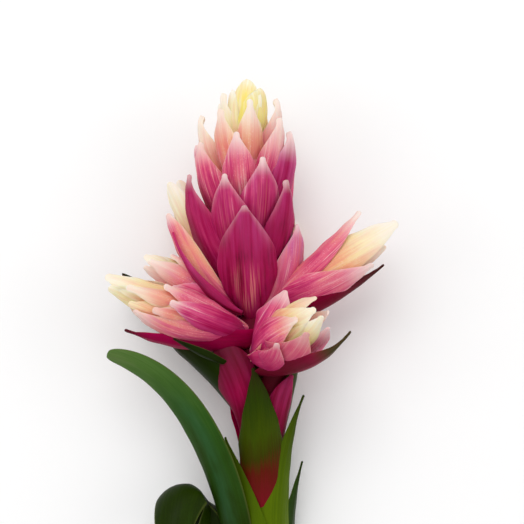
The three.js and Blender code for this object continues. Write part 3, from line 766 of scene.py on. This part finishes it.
# %% Left rear bloom
add_bloom("left_rear_bloom", "pink_bract", (-6, 13, 1), (-48, 39, 3), [
    bract((-52.8, 42, 6), 6.5, (6, 6), (-0.3, 0.6, 0.7), (0.45, 0.72, 0.95), pale=0.85, reach=0.3, sharp=2.2,
          blunt=0.65),
    bract((-48.5, 41.8, 4), 6.5, (6, 7), (0.1, 0.7, 0.7), (0.45, 0.74, 0.95), pale=0.7, reach=0.25, gold=0.4,
          sharp=2.2, blunt=0.65),
    bract((-39.4, 42.6, 6), 6.5, (8, 9), (0.4, 0.7, 0.6), (0.2, 0.4, 0.6), pale=0.9, reach=0.3, lean=-0.15,
          **FINGER),
    bract((-52.7, 36.8, 9), 8, (7, 7), (-0.4, -0.5, 0.7), (0.32, 0.5, 0.74), pale=1.0, reach=0.35, lilac=0.15,
          sharp=2, blunt=0.75),
    bract((-50, 39.4, 12), 8, (8, 8), (-0.1, 0.2, 1), (0.28, 0.46, 0.72), pale=1.0, reach=0.4, lilac=0.1,
          **OVAL),
    bract((-38.8, 26.2, 15), 8, (9, 10), (0, -0.2, 1), (0.26, 0.38, 0.5), pale=0.7, reach=0.2, lilac=0.5,
          **OVAL),
    bract((-49, 36, -7), 10, (7, 7), None, (0.3, 0.45, 0.7), pale=0.5),
], seed=75)

# %% [markdown]
# ### The upper left bloom
# Only its cream tips look over the bract that wraps it.

# %% Upper left bloom
add_bloom("upper_left_bloom", "cream_bract", (-7, 24, -6), (-38, 78, -11), [
    bract((-41, 79.2, -6), 8.5, (7, 8), (-0.6, 0, 0.8), (0.55, 0.75, 0.97), pale=0.8, reach=0.5, gold=0.2,
          sharp=2.4, blunt=0.6),
    bract((-36.2, 80.4, -9), 8, (5, 6), (0.4, 0.2, 0.9), (0.55, 0.76, 0.96), pale=0.7, reach=0.5, gold=0.3,
          sharp=2.4, blunt=0.6),
    bract((-36.8, 74.6, -18), 8.5, (7, 7), None, (0.4, 0.65, 0.9), pale=0.5),
    bract((-38, 65, -17), 8.5, (7, 7), None, (0.4, 0.6, 0.85), pale=0.5),
], seed=85)

# %% [markdown]
# ### The right bloom
# A slender pink bract stands above a broad one that turns from peach to cream, and a pink one with a lilac
# margin hangs below them. The tip of a fourth looks out behind the cream one.

# %% Right bloom
add_bloom("right_bloom", "pink_bract", (8, 15, 4), (68, 52, 6), [
    bract((54.8, 64.4, 6), 7.6, (8.5, 11.5), (-0.3, 0.7, 0.65), (0.5, 0.48, 0.56), pale=0.9, reach=0.3,
          lilac=0.1, lean=-0.06, sharp=1.4, blunt=1.0),
    bract((73.3, 58.8, 10), 11, (9, 8.5), (-0.2, 0.35, 0.9), (0.46, 0.68, 0.97), pale=0.85, reach=0.45,
          gold=0.22, lean=-0.07, sharp=1.8, blunt=0.75, nub=2.6),
    bract((67.9, 46.7, 5), 9, (7, 7), (0.3, -0.6, 0.6), (0.35, 0.6, 0.86), pale=0.7, reach=0.3, lilac=0.1),
    bract((60.9, 38, 17), 12.5, (10, 12.5), (0.1, -0.6, 0.8), (0.26, 0.46, 0.55), pale=0.8, reach=0.3,
          lilac=0.35, shoulder=0.56, sharp=1.3, blunt=1.0),
    bract((64.2, 52.1, -4), 10, (8, 8), None, (0.3, 0.55, 0.8), pale=0.4),
    bract((52, 39, -8), 10, (8, 8), None, (0.2, 0.4, 0.6), pale=0.4),
], seed=95)

# %% [markdown]
# ### The two blooms at the back
# The photograph can't show them, but the head is a whorl, so blooms like the others stand behind and carry
# it.

# %% Back blooms
def back_bracts(side, tips):
    """The same five bracts on either side: side is -1 at the left and 1 at the right."""
    return [
        bract(tips[0], 8, (6, 6), (0.6 * side, 0.4, -0.5), (0.3, 0.55, 0.85), pale=0.6, reach=0.2),
        bract(tips[1], 8, (6, 7), (-0.3 * side, 0.5, -0.6), (0.3, 0.5, 0.8), pale=0.6, reach=0.2),
        bract(tips[2], 9, (8, 8), None, (0.25, 0.45, 0.65), pale=0.5, lilac=0.2),
        bract(tips[3], 9, (8, 8), None, (0.25, 0.48, 0.7), pale=0.5),
        bract(tips[4], 11, (6, 7), None, (0.2, 0.4, 0.62), pale=0.5, lilac=0.1),
    ]


left_tips = [(-27, 64, -40.5), (-20, 66, -38), (-16, 56, -32), (-32, 52, -30), (-25, 50, -38.5)]
right_tips = [(22.5, 60, -40), (17, 62, -38), (12, 52, -32), (24, 42, -30), (24, 44, -37.5)]
add_bloom("back_left_bloom", "pink_bract", (-4, 16, -9), (-24, 66, -36), back_bracts(-1, left_tips), seed=100)
add_bloom("back_right_bloom", "pink_bract", (6, 14, -9), (22, 58, -35), back_bracts(1, right_tips), seed=110)

# %% [markdown]
# ## The bract under each bloom
# Each bloom grew from the armpit of one larger bract, which still cradles it. These bracts are deep magenta
# with dark tips, except the one at the upper left, which turns its pale pink inner face outwards. Its near
# margin is folded over and shows its dark back. One sheet can't be dark and pale on the same side without a
# hard line of paint, so the fold is a slim dark blade of its own in the same piece.

# %% The left bloom's bract
def add_single(node, slot, seed, paint, **shape):
    piece = Piece(node, slot)
    add_blade(piece, paint, seed=seed, **shape)
    piece.make()


add_single("left_bloom_bract", "magenta_bract", 120, tint(0.06, 0.12, 0.15, dark=0.85, plain=1),
           path=[(1, -2, 11), (-22, -5.5, 19), (-46, 0.5, 25), (-61.2, 5.9, 24)], face=(-0.1, -0.8, 0.6),
           half=11, cup=0.9, base=0.9, peak=0.3, sharp=1.2, blunt=1.25)

# %% The upper left bloom's bract, with its folded margin
WRAP_FACE = (-0.6, -0.3, 0.8)
wrap = Piece("upper_left_bloom_bract", "pink_bract")
add_blade(wrap, tint(0.3, 0.48, 0.52, pale=0.85, lilac=0.15, gold=0.15, streak=0.3, streak_from=0.25,
                     streak_to=0.8, lean=0.16),
          seed=121, path=[(-3, 14, 6), (-20, 20, 12), (-33, 42, 9), (-41.2, 63.2, 3)], face=WRAP_FACE,
          half=8, peak=0.58, sharp=1.9, blunt=0.7, nub=2.2)
add_blade(wrap, tint(0.12, 0.06, 0.3, lilac=0.5), seed=126, waver=0.1, thick=1.1,
          path=[(-4, 14, 12), (-17, 18, 18), (-31, 32, 14), (-38.5, 54, 6)], face=WRAP_FACE, half=4,
          base=0.3, peak=0.4, sharp=1.2, blunt=1.1, nub=0.8, plump=0.9)
wrap.make()

# %% The other four bracts under blooms
BACK_TINT = tint(0.08, 0.15, 0.2, dark=0.8)
# its deep maroon is partly its own colour and partly painted shade on the underside that shows; the brown tip is its
# own
add_single("right_bloom_bract", "magenta_bract", 122,
           tint(0.0, 0.0, 0.02, dark=0.9, plain=1, dark_from=0.5),
           path=[(9, 8, 6), (27, 8.5, 10), (49, 23, 10.5), (66.8, 37.8, 5)], face=(0.35, -0.85, 0.4),
           half=8.5, cup=0.9, sharp=1.4, blunt=1.1)
# the brown wash over its whole length, strongest at the tip, is painted shade on its underside; the green tip is its
# own
add_single("front_right_bloom_bract", "magenta_bract", 123,
           tint(-0.05, 0.04, 0.16, green=1.0, dark=0.35, dark_from=-1, plain=1),
           path=[(4, -16, 11), (14, -17.5, 29), (34, -13.5, 40), (49, 5.7, 34)], face=(0.3, -0.85, 0.45),
           half=12, cup=0.9, peak=0.45, sharp=1.2, blunt=1.3)
add_single("back_left_bloom_bract", "magenta_bract", 124, BACK_TINT,
           path=[(-3, 0, -7), (-13, 9, -26), (-26, 28, -34.3), (-30, 48, -38.2)], face=(-0.5, -0.4, -0.75),
           half=12)
add_single("back_right_bloom_bract", "magenta_bract", 125, BACK_TINT,
           path=[(5, 0, -7), (14, 8, -25), (26, 20, -33), (25.5, 36, -37)], face=(0.5, -0.4, -0.75), half=12)

# %% [markdown]
# ## The neck
# Below the blooms three more magenta bracts clasp the top of the stem, and narrow green ones reach up
# between them and the blooms. They are painted dull and dark, which is painted shade, because they stand in
# the shade of the head. The right magenta one has a second, dark maroon blade in the same piece, that lies
# towards the front behind the main one: a painted shadow under the bract of the front right bloom.

# %% Neck bracts
add_single("neck_bract_left", "magenta_bract", 130,
           tint(-0.1, 0.06, 0.02, lilac=0.1, dark=0.4, dark_from=0.6, plain=1),
           path=[(0, -62, 8), (-0.5, -38, 12), (-5.5, -22, 19.5), (-15.5, -3, 15)], face=(-0.3, -0.1, 0.95),
           half=12.5, peak=0.72, swell=7, cup=0.9, base=0.34, sharp=3, blunt=0.6, waver=0.15)
neck_right = Piece("neck_bract_right", "magenta_bract")
# a dark maroon sheet set behind the main blade: painted shade, the shadow under the front right bloom's bract
add_blade(neck_right, tint(-0.1, -0.1, -0.1, dark=0.35, dark_from=-0.5, plain=1), seed=133, waver=0.1,
          path=[(8, -50, 6), (9, -38, 9), (12, -26, 11), (16, -9, 12)], face=(0.2, -0.2, 0.95), half=8.5,
          peak=0.6, cup=0.8, base=0.3, blunt=0.7)
add_blade(neck_right, tint(-0.04, 0.02, 0.06, lilac=0.2, plain=1), seed=131, waver=0.1,
          path=[(12.8, -58, 7), (13, -44, 12), (14, -30, 16), (21, -16.5, 14)], face=(0.4, -0.1, 0.9),
          half=7.4, peak=0.6, cup=0.9, base=0.5, sharp=1.6, blunt=0.9)
neck_right.make()
add_single("neck_bract_back", "magenta_bract", 132, tint(-0.1, 0.06, 0.1, dark=0.4),
           path=[(4, -62, -7), (4, -42, -10.5), (2, -24, -17), (0, -5, -19)], face=(0, -0.1, -1), half=15,
           cup=0.9, base=0.5)

# %% Green bracts of the neck
THIN_POINT = dict(nub=0.7, plump=0.8)  # a tip with hardly any flesh
add_single("green_bract_left_rear", "green_leaf", 140, tint(0.2, 0.22, 0.1, dark=0.2),
           path=[(1, -50, 4), (-5, -32, 6), (-19, -17, 8), (-39, -1, 14)], face=(-0.6, -0.5, 0.5),
           face_tip=(-0.4, -0.7, 0.5), half=12, cup=0.9, base=0.1, swell=2)
add_single("green_bract_left_front", "green_leaf", 141, tint(0.15, 0.1, 0.0, dark=0.4),
           path=[(-8, -13, 9), (-18.5, -8.5, 27), (-28, -3, 29.5), (-39.6, 2.8, 23)], face=(-0.2, -0.6, 0.8),
           half=3, base=0.5, peak=0.45, sharp=1.3, blunt=1.1, thick=0.9, waver=0.1, **THIN_POINT)
add_single("green_bract_right", "green_leaf", 142, tint(0.3, 0.4, 0.35, dark=0.5, dark_from=0),
           path=[(13, -60, 3), (16.5, -43, 5), (20.5, -28, 7), (24.4, -6, 9)], face=(0.9, -0.2, 0.4), half=9,
           cup=0.7)
add_single("green_bract_back_left", "green_leaf", 143, tint(0.2, 0.2, 0.1, dark=0.5),
           path=[(-2, -24, -7), (-19, -11, -14), (-44, 10, -18), (-65, 33.4, -14)], face=(-0.4, -0.5, -0.7),
           half=9, **THIN_POINT)
add_single("green_bract_front", "scape_bract", 144, tint(0.0, 0.55, 1.0),
           path=[(7, -98, 8.5), (6.5, -74, 13), (6.5, -40, 19), (1.8, -12.5, 20)], face=(0.05, 0, 1), half=13,
           peak=0.55, cup=1, base=0.6, sharp=1.25, blunt=1)

# %% [markdown]
# ## Leaves and sheaths
# Strap leaves leave the stem low down, fleshy and channelled, with parallel veins. The lower left one is
# folded: one blade rises and bends over to the front, and a second, narrower one beside it is the part
# behind the fold, painted darker as painted shade inside the fold. The feet of leaves are sheaths that wrap
# the stem, yellow green because little light reaches them. All of them were cut through with the stem.

# %% Leaves
# on this leaf the streak mark lays down a painted highlight: the bluish sheen down the middle of the channel
add_single("leaf_left", "green_leaf", 150,
           tint(0.3, 0.5, 0.85, streak=0.9, streak_from=0.12, streak_to=0.66), cut=True,
           path=[(-5, CUT_Y - 1, 9), (-11.6, -64, 15), (-28.5, -14.5, 27), (-68.9, -5.4, 34)],
           face=(-0.5, 0, 0.85), face_tip=(-0.3, -0.45, 0.85), half=9.9, cup=0.5, cup_base=1, base=0.95,
           peak=0.25, sharp=1.6, blunt=0.32, thick=1.8, rows=54, waver=0.05)
lower_leaf = Piece("leaf_lower_left", "green_leaf")
add_blade(lower_leaf, tint(0.2, 0.2, 0.24, plain=1), seed=151, cut=True, waver=0.05,
          path=[(-5, CUT_Y - 1, 0), (-27.5, -64.5, -6), (-39, -50.5, 26), (-37, -114, 32)],
          face=(-0.4, 0.9, 0.2), face_tip=(0.1, 0.8, 0.6), half=15, cup=1, cup_base=0.9, base=0.7,
          peak=0.62, sharp=1.7, thick=1.8, rows=54)
# the part behind the fold, painted darker than the first blade: painted shade inside the fold
add_blade(lower_leaf, tint(0.1, 0.05, 0.05, plain=1), seed=153, cut=True, waver=0.05,
          path=[(-12, CUT_Y - 1, 3), (-20, -103, 3), (-26, -92, 3), (-30, -74, 2)], face=(-0.3, 0, 0.95),
          half=13.5, cup=0.4, base=1, peak=0.2, sharp=2.2, thick=1.6, rows=30)
lower_leaf.make()
add_single("leaf_back", "green_leaf", 152, tint(0.25, 0.45, 0.5), cut=True,
           path=[(7, CUT_Y - 1, -13.9), (7, -85, -17), (8, -52, -21), (9, -18, -24)], face=(0, 0, -1),
           half=12, cup=0.8, cup_base=1.2, base=0.9, peak=0.3, sharp=2.5, thick=1.8, rows=40, waver=0.05)

# %% Sheaths
SHEATH = dict(cut=True, base=1, peak=0.2, rows=34, waver=0.1)
add_single("sheath_left", "lime_sheath", 160, tint(0.55, 0.5, 0.2),
           path=[(-1, CUT_Y - 1, 9), (-2, -92, 9.5), (-5.4, -70, 11), (-12.3, -47.6, 9)],
           face=(-0.65, 0, 0.75), half=14, cup=0.95, sharp=1.1, blunt=1, **SHEATH, **THIN_POINT)
add_single("sheath_right", "lime_sheath", 161, tint(0.7, 0.55, 0.1),
           path=[(14.6, CUT_Y - 1, 8), (13.8, -90, 9.5), (12.6, -60, 11), (26.8, -26.7, 9)],
           face=(0.6, 0, 0.8), half=12.4, cup=0.95, sharp=1.1, blunt=1.1, **SHEATH, **THIN_POINT)
add_single("sheath_right_rear", "green_leaf", 162, tint(0.4, 0.3, 0.2), cut=True,
           path=[(19.2, CUT_Y - 1, -2), (20, -95, -1), (20.5, -80, 0), (26.2, -60.3, 1)], face=(0.85, 0, 0.5),
           half=8.5, cup=0.6, base=0.9, peak=0.25, sharp=1.1, blunt=1.1, rows=30, waver=0.1, **THIN_POINT)
add_single("sheath_back", "lime_sheath", 163, tint(0.6, 0.5, 0.2),
           path=[(9, CUT_Y - 1, -9.5), (8, -92, -9.5), (6.5, -70, -11.5), (6, -46, -15)], face=(0.15, 0, -1),
           half=14, cup=1.1, sharp=1.3, **SHEATH)

# %% [markdown]
# ## The stem
# The stem is a round juicy rod that swells at the neck, where the bracts are seated. From the front it is
# hidden. It shows between the bracts at the back, and at its cut end as pale flesh dotted with fibres.

# %% Stem
STEM_RADIUS = 6.5
NECK_RADIUS = 9.5
STEM_LEAN = -0.0625
stem = Piece("stem", "stem")
add_core(stem, (NECK_X + STEM_LEAN * CUT_Y, CUT_Y, 0), (NECK_X, 20, 0),
         [(STEM_RADIUS, 0), (STEM_RADIUS, 0.6), (NECK_RADIUS, 0.8), (NECK_RADIUS, 0.87), (6, 0.94), (0, 1)],
         sides=48, steps=60, ripe=(0, 0.1, 1), cut=True, ribs=0.02)
stem.make()

# %% [markdown]
# ## Shader maths written as sums
# A finish mixes numbers: how ripe, how pale, how streaky. In the shader editor each sum is a Math node
# wired by hand. A small class that wraps a socket lets Python write the same graph as an expression, and `1
# - mask` works too, because the reflected forms are there. Colours and vectors never go through it, since a
# Math node would turn a colour grey.

# %% Wires
class Wire:
    """An output socket that sums, differences and products can be written with."""

    def __init__(self, finish, socket):
        self.finish, self.socket = finish, socket

    def maths(self, operation, first, second):
        return self.finish.node("Math", {"operation": operation}, {0: first, 1: second})

    def __add__(self, other): return self.maths("ADD", self, other)
    def __radd__(self, other): return self.maths("ADD", other, self)
    def __sub__(self, other): return self.maths("SUBTRACT", self, other)
    def __rsub__(self, other): return self.maths("SUBTRACT", other, self)
    def __mul__(self, other): return self.maths("MULTIPLY", self, other)
    def __rmul__(self, other): return self.maths("MULTIPLY", other, self)


print("a wire knows sums, differences and products")

# %% [markdown]
# ## A material with one way in
# A material is a tree of nodes. Most of the work of building one is naming the kind of node, its settings
# and what goes into its sockets, so one method takes just these three. It sets the settings first, because
# a node such as Mix shows other sockets once its data type is chosen, and the sockets are then found by
# name among those shown.

# %% Finishes
class Finish:
    """A material and the one method that makes its nodes."""

    def __init__(self, name):
        self.material = bpy.data.materials.new(name)
        self.material.use_nodes = True
        self.tree = self.material.node_tree
        self.tree.nodes.clear()

    def node(self, kind, settings=None, sockets=None, output=0):
        made = self.tree.nodes.new("ShaderNode" + kind)
        for key, value in (settings or {}).items():
            if key == "stops":
                while len(made.color_ramp.elements) < len(value):
                    made.color_ramp.elements.new(0.5)
                for stop, (place, colour) in zip(made.color_ramp.elements, value):
                    stop.position, stop.color = place, colour
            else:
                setattr(made, key, value)
        for key, value in (sockets or {}).items():
            if isinstance(key, int):
                socket = made.inputs[key]
            else:
                socket = next(i for i in made.inputs if i.name == key and i.enabled)
            if isinstance(value, Wire):
                self.tree.links.new(value.socket, socket)
            else:
                socket.default_value = value
        if output is None:
            return None
        outputs = [o for o in made.outputs if o.enabled]
        return Wire(self, outputs[output] if isinstance(output, int) else made.outputs[output])

    def mark(self, name):
        return self.node("Attribute", {"attribute_name": name}, output="Fac")

    def surface(self, shader):
        self.node("OutputMaterial", {}, {"Surface": shader}, output=None)
        return self.material


print("a finish is a material with Python for its node editor")

# %% [markdown]
# ## Colour, blends and grain
# Colours are written as the eye names them, in 0 to 255, and turned into the linear light that a renderer
# adds up. Grain on a plant runs lengthwise: the same noise that makes clouds becomes veins and streaks once
# it is squeezed across the blade and stretched along it, which is why `lie` holds millimetres in both
# directions.

# %% Helpers for every finish
def colour(red, green, blue):
    def linear(v):
        v = v / 255
        return v / 12.92 if v <= 0.04045 else ((v + 0.055) / 1.055) ** 2.4
    return (linear(red), linear(green), linear(blue), 1.0)


def ramp(finish, value, stops):
    return finish.node("ValToRGB", {"stops": [(p, colour(*c)) for p, c in stops]}, {"Fac": value}, "Color")


def blend(finish, share, first, second):
    return finish.node("Mix", {"data_type": "RGBA", "clamp_factor": True},
                       {"Factor": share, "A": first, "B": second})


def step(finish, value, low, high):
    return finish.node("MapRange", {"interpolation_type": "SMOOTHSTEP"},
                       {"Value": value, "From Min": low, "From Max": high})


def grain(finish, across, along, detail=2.0, shift=0.0):
    """Noise in 0 to 1 with so many waves to a millimetre across and along the blade."""
    lie = finish.node("Attribute", {"attribute_name": "lie"}, output="Vector")
    place = finish.node("VectorMath", {"operation": "MULTIPLY_ADD"},
                        {0: lie, 1: (across, along, 1.0), 2: (shift, shift, shift)}, "Vector")
    return finish.node("TexNoise", {"noise_dimensions": "3D"},
                       {"Vector": place, "Scale": 1.0, "Detail": detail, "Roughness": 0.55}, "Fac")


print("deep magenta in linear light:", [round(v, 3) for v in colour(156, 14, 72)])

# %% [markdown]
# ## The skin of the plant
# Bracts and leaves have a waxy skin over wet flesh. The light that enters comes out a little further on, so
# they glow softly at thin edges. The Principled shader's subsurface does that without the noise of a real
# volume. Its constants are typed straight on the sockets. Only colour, roughness and the bump change over
# the surface.

# %% Skin
GLOW_DEPTH = 0.002  # metres that light runs under the skin
VEIN_DEPTH = 0.0004  # metres that the veins stand up


def skin(finish, base, roughness, height, depth, strength=0.5, flesh=(1.0, 0.5, 0.4), soft=0.25, shine=0.05):
    bump = finish.node("Bump", {}, {"Strength": strength, "Distance": depth, "Height": height})
    shader = finish.node("BsdfPrincipled", {}, {
        "Base Color": base,
        "Roughness": roughness,
        "Normal": bump,
        "Specular IOR Level": shine,
        "Subsurface Weight": soft,
        "Subsurface Radius": flesh,
        "Subsurface Scale": GLOW_DEPTH,
    })
    return finish.surface(shader)


def dress(slot, material):
    dressed = [p for p in pieces.values() if p["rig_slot"] == slot]
    for piece in dressed:
        piece.data.materials.clear()
        piece.data.materials.append(material)
    print(f"{material.name}: on {len(dressed)} pieces")


print("finishes to make:", ", ".join(sorted({piece["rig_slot"] for piece in pieces.values()})))

# %% [markdown]
# ## Bract finish
# A bract ripens from deep magenta through rose, coral and peach to cream, and the whole row of colours can
# be seen up the spike. One ramp holds that row, and `ripe` picks the place in it, so neighbouring bracts
# always agree. Over it come the things that make it a plant: finer streaks and light veins, small pale
# specks where it is pink, a paler face towards the stem, whitish tips, a lilac bloom, and brown or green
# tips on the bracts that cradle a bloom. Each is one more blend over the last, like thin washes of paint.

# %% Bract finish
RIPENING = [
    (0.00, (110, 0, 36)), (0.10, (154, 0, 64)), (0.20, (164, 6, 76)), (0.30, (184, 36, 94)),
    (0.40, (210, 70, 116)), (0.50, (228, 108, 132)), (0.60, (232, 136, 126)), (0.70, (236, 166, 136)),
    (0.80, (241, 199, 158)), (0.90, (245, 230, 176)), (1.00, (250, 244, 218)),
]


def bract_finish(name, waxy):
    f = Finish(name)
    veins = grain(f, 2.2, 0.045, 3.0)
    broad = grain(f, 0.35, 0.02, 2.0, 5.0)
    blotch = grain(f, 0.16, 0.07, 3.0, 9.0)
    mottle = (veins - 0.5) * 0.3 + (broad - 0.5) * 0.28 + (blotch - 0.5) * 0.3
    ripe = f.mark("ripe") + mottle * (1 - 0.65 * f.mark("plain"))
    ripe = ripe + f.mark("inner") * 0.12 + f.mark("edge") * 0.03
    light = step(f, grain(f, 1.5, 0.03, 1.5, 3.0), 0.42, 0.6) * f.mark("streak")
    pink = step(f, ripe, 0.28, 0.45) * (1 - 0.8 * f.mark("plain"))
    fine_vein = step(f, grain(f, 1.1, 0.035, 2.5, 17.0), 0.54, 0.72)
    dots = step(f, grain(f, 3.2, 1.1, 2.0, 7.0), 0.56, 0.7)
    speck = dots * step(f, ripe, 0.3, 0.5) * step(f, broad, 0.4, 0.6)
    washes = [
        (f.mark("inner") * step(f, ripe, 0.4, 0.65) * 0.6, (250, 226, 206)),  # the face towards the stem
        (f.mark("lilac") * step(f, broad, 0.2, 0.8), (206, 98, 164)),  # the lilac bloom
        (light * 0.62, (230, 142, 130)),  # streaks where a deep bract turns peach
        (pink * fine_vein * 0.4, (250, 216, 208)),  # light veins
        (speck * 0.3, (252, 232, 232)),  # specks
        (f.mark("gold") * step(f, broad, 0.25, 0.7), (246, 226, 124)),  # the yellow glow
        (f.mark("pale") * (0.55 + 0.6 * broad), (247, 235, 226)),  # whitish tips
        (f.mark("green") * (0.6 + 0.6 * veins), (58, 70, 24)),  # green tips
        (f.mark("dark") * (0.7 + 0.5 * veins), (48, 30, 18)),  # brown tips
    ]
    base = ramp(f, ripe, RIPENING)
    for share, wash in washes:
        base = blend(f, share, base, colour(*wash))
    rough = 0.16 * blotch + (0.42 - 0.06 * waxy)
    height = veins * 0.7 + grain(f, 0.9, 0.03, 2.0, 12.0)
    return skin(f, base, rough, height * (1 - 0.6 * f.mark("plain")), VEIN_DEPTH, strength=0.45)


dress("magenta_bract", bract_finish("magenta_bract_skin", 1.0))
dress("pink_bract", bract_finish("pink_bract_skin", 0.6))
dress("cream_bract", bract_finish("cream_bract_skin", 0.3))

# %% [markdown]
# ## Leaf finish
# The leaves are dark olive near their feet and a cooler green further out, with a bluish sheen down the
# middle of the channel, which is a painted highlight standing for light reflected by the glossy skin, and a
# thin light margin. `ripe` is the tone here. The veins are raised lines that run the whole length.

# %% Leaf finish
# the bluish sheen colour is a painted highlight: light reflected by the glossy channel, painted into the colour
LEAF_MARGIN, LEAF_BROWN, LEAF_PAINTED_SHEEN = (82, 90, 38), (64, 34, 18), (50, 92, 64)
FLESH, FIBRES = (196, 204, 150), (150, 140, 88)
LEAF_TONES = [
    (0.00, (18, 28, 0)), (0.25, (32, 50, 0)), (0.50, (42, 78, 22)), (0.75, (74, 106, 46)),
    (1.00, (106, 126, 74)),
]


def cut_flesh(f, base):
    dots = step(f, grain(f, 1.4, 1.4, 2.0, 20.0), 0.5, 0.62)
    flesh = blend(f, dots * 0.5, colour(*FLESH), colour(*FIBRES))
    return blend(f, f.mark("cut"), base, flesh)


def leaf_finish():
    f = Finish("green_leaf_skin")
    veins = grain(f, 1.7, 0.012, 2.0)
    cloud = grain(f, 0.12, 0.03, 3.0, 4.0)
    tone = f.mark("ripe") + (veins - 0.5) * 0.16 + (cloud - 0.5) * 0.4
    base = ramp(f, tone, LEAF_TONES)
    base = blend(f, step(f, f.mark("edge"), 0.6, 1.0) * 0.6, base, colour(*LEAF_MARGIN))
    base = blend(f, f.mark("dark") * 0.8, base, colour(*LEAF_BROWN))
    # painted highlight: the bluish sheen, blended in down the middle of the channel where the streak mark is set
    base = blend(f, f.mark("streak") * step(f, cloud, 0.2, 0.75) * 0.5, base, colour(*LEAF_PAINTED_SHEEN))
    base = cut_flesh(f, base)
    return skin(f, base, 0.34 + 0.2 * cloud, veins, VEIN_DEPTH, strength=0.4, flesh=(0.4, 0.8, 0.2),
                soft=0.08, shine=0.06)


dress("green_leaf", leaf_finish())

# %% [markdown]
# ## Sheath and scape bract finishes
# The sheaths are yellow green and darken to olive at their points. The bract on the front of the stem
# starts reddish brown at its foot, turns green and ends in a brown point: the same idea with another row of
# colours.

# %% Sheath and scape finishes
SHEATH_TONES = [(0.0, (42, 50, 8)), (0.5, (70, 92, 0)), (1.0, (106, 130, 6))]
SCAPE_TONES = [(0.0, (122, 10, 32)), (0.34, (92, 24, 10)), (0.46, (56, 54, 0)), (0.6, (56, 72, 0)),
               (0.8, (40, 58, 0)), (1.0, (40, 42, 4))]


def stripe_finish(name, tones, spread):
    f = Finish(name)
    veins = grain(f, 1.5, 0.012, 2.0)
    cloud = grain(f, 0.14, 0.03, 3.0, 6.0)
    tone = f.mark("ripe") + (veins - 0.5) * spread + (cloud - 0.5) * spread
    base = cut_flesh(f, ramp(f, tone, tones))
    return skin(f, base, 0.36 + 0.2 * cloud, veins, VEIN_DEPTH, strength=0.4, flesh=(0.5, 0.8, 0.15),
                soft=0.08)


dress("lime_sheath", stripe_finish("lime_sheath_skin", SHEATH_TONES, 0.3))
dress("scape_bract", stripe_finish("scape_bract_skin", SCAPE_TONES, 0.25))

# %% [markdown]
# ## Stem finish
# The stem shows between the bracts at the back: wine red at the neck, mottled olive brown lower down, with
# fine ribs. Two plain colours and one cloud between them are enough for so little of it.

# %% Stem finish
WINE_RED, OLIVE_BROWN = (110, 6, 40), (74, 58, 20)
RIB_DEPTH = 0.0005


def stem_finish():
    f = Finish("stem_skin")
    ribs = grain(f, 0.9, 0.01, 2.0)
    cloud = grain(f, 0.15, 0.05, 3.0, 2.0)
    browner = step(f, cloud, 0.35, 0.75) * (1 - f.mark("ripe"))
    base = blend(f, browner, colour(*WINE_RED), colour(*OLIVE_BROWN))
    return skin(f, cut_flesh(f, base), 0.4 + 0.15 * cloud, ribs, RIB_DEPTH)


dress("stem", stem_finish())

# %% [markdown]
# ## Floor and light
# The photograph is lit softly from in front and a little from above, on white. A pale floor and a pale
# world fill the shadows, one big soft lamp above the crown gives the plant its form, and two weak ones open
# up the sides. The colours should come out as they were painted, so the picture is shown without a film
# curve.

# %% Floor
bpy.ops.mesh.primitive_plane_add(size=8, location=(0, 0, 0))
floor = bpy.context.object
floor.name = "floor"
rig.stage(floor)
paper = Finish("floor_paper")
sheet = paper.node("BsdfPrincipled", {}, {
    "Base Color": colour(252, 252, 252), "Roughness": 0.9, "Specular IOR Level": 0.1,
})
floor.data.materials.append(paper.surface(sheet))
print("floor:", floor.name)

# %% Light
PLANT_MIDDLE = Vector((0, 0, 0.03))


def lamp(name, place, size, power):
    light = bpy.data.lights.new(name, "AREA")
    light.shape, light.size, light.energy = "SQUARE", size, power
    made = bpy.data.objects.new(name, light)
    made.location = place
    made.rotation_euler = (PLANT_MIDDLE - Vector(place)).to_track_quat("-Z", "Y").to_euler()
    bpy.context.scene.collection.objects.link(made)
    print(f"{name}: {power} W, {size} m square")


ROOM_GLOW = 0.64
lamp("key_lamp", (-0.2, 0.7, 1.7), 1.2, 12.5)
lamp("right_lamp", (1.3, -0.1, 1.1), 0.9, 3)
lamp("left_lamp", (-1.3, -0.2, 1.1), 0.9, 3)
world = bpy.data.worlds.new("pale_room")
world.use_nodes = True
world.node_tree.nodes["Background"].inputs["Color"].default_value = (1, 1, 1, 1)
world.node_tree.nodes["Background"].inputs["Strength"].default_value = ROOM_GLOW
bpy.context.scene.world = world
bpy.context.scene.view_settings.view_transform = "Standard"

# %% [markdown]
# ## Last look at the size
# The new pieces stand for solids whose size is settled, so they must fill the same box. Both boxes are
# written down side by side to be compared.

# %% Sizes, and hand over to the frame
bpy.context.view_layer.update()
plant_box = [list(corner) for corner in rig.bounds()]
with open("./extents.json", "w") as out:
    json.dump({"cad": cad_box, "plant": plant_box}, out)
grown = [[round(1000 * (a - b), 1) for a, b in zip(p, q)] for p, q in zip(plant_box, cad_box)]
print("grown by, in mm:", grown)
print("triangles:", sum(len(f.vertices) - 2 for p in pieces.values() for f in p.data.polygons))
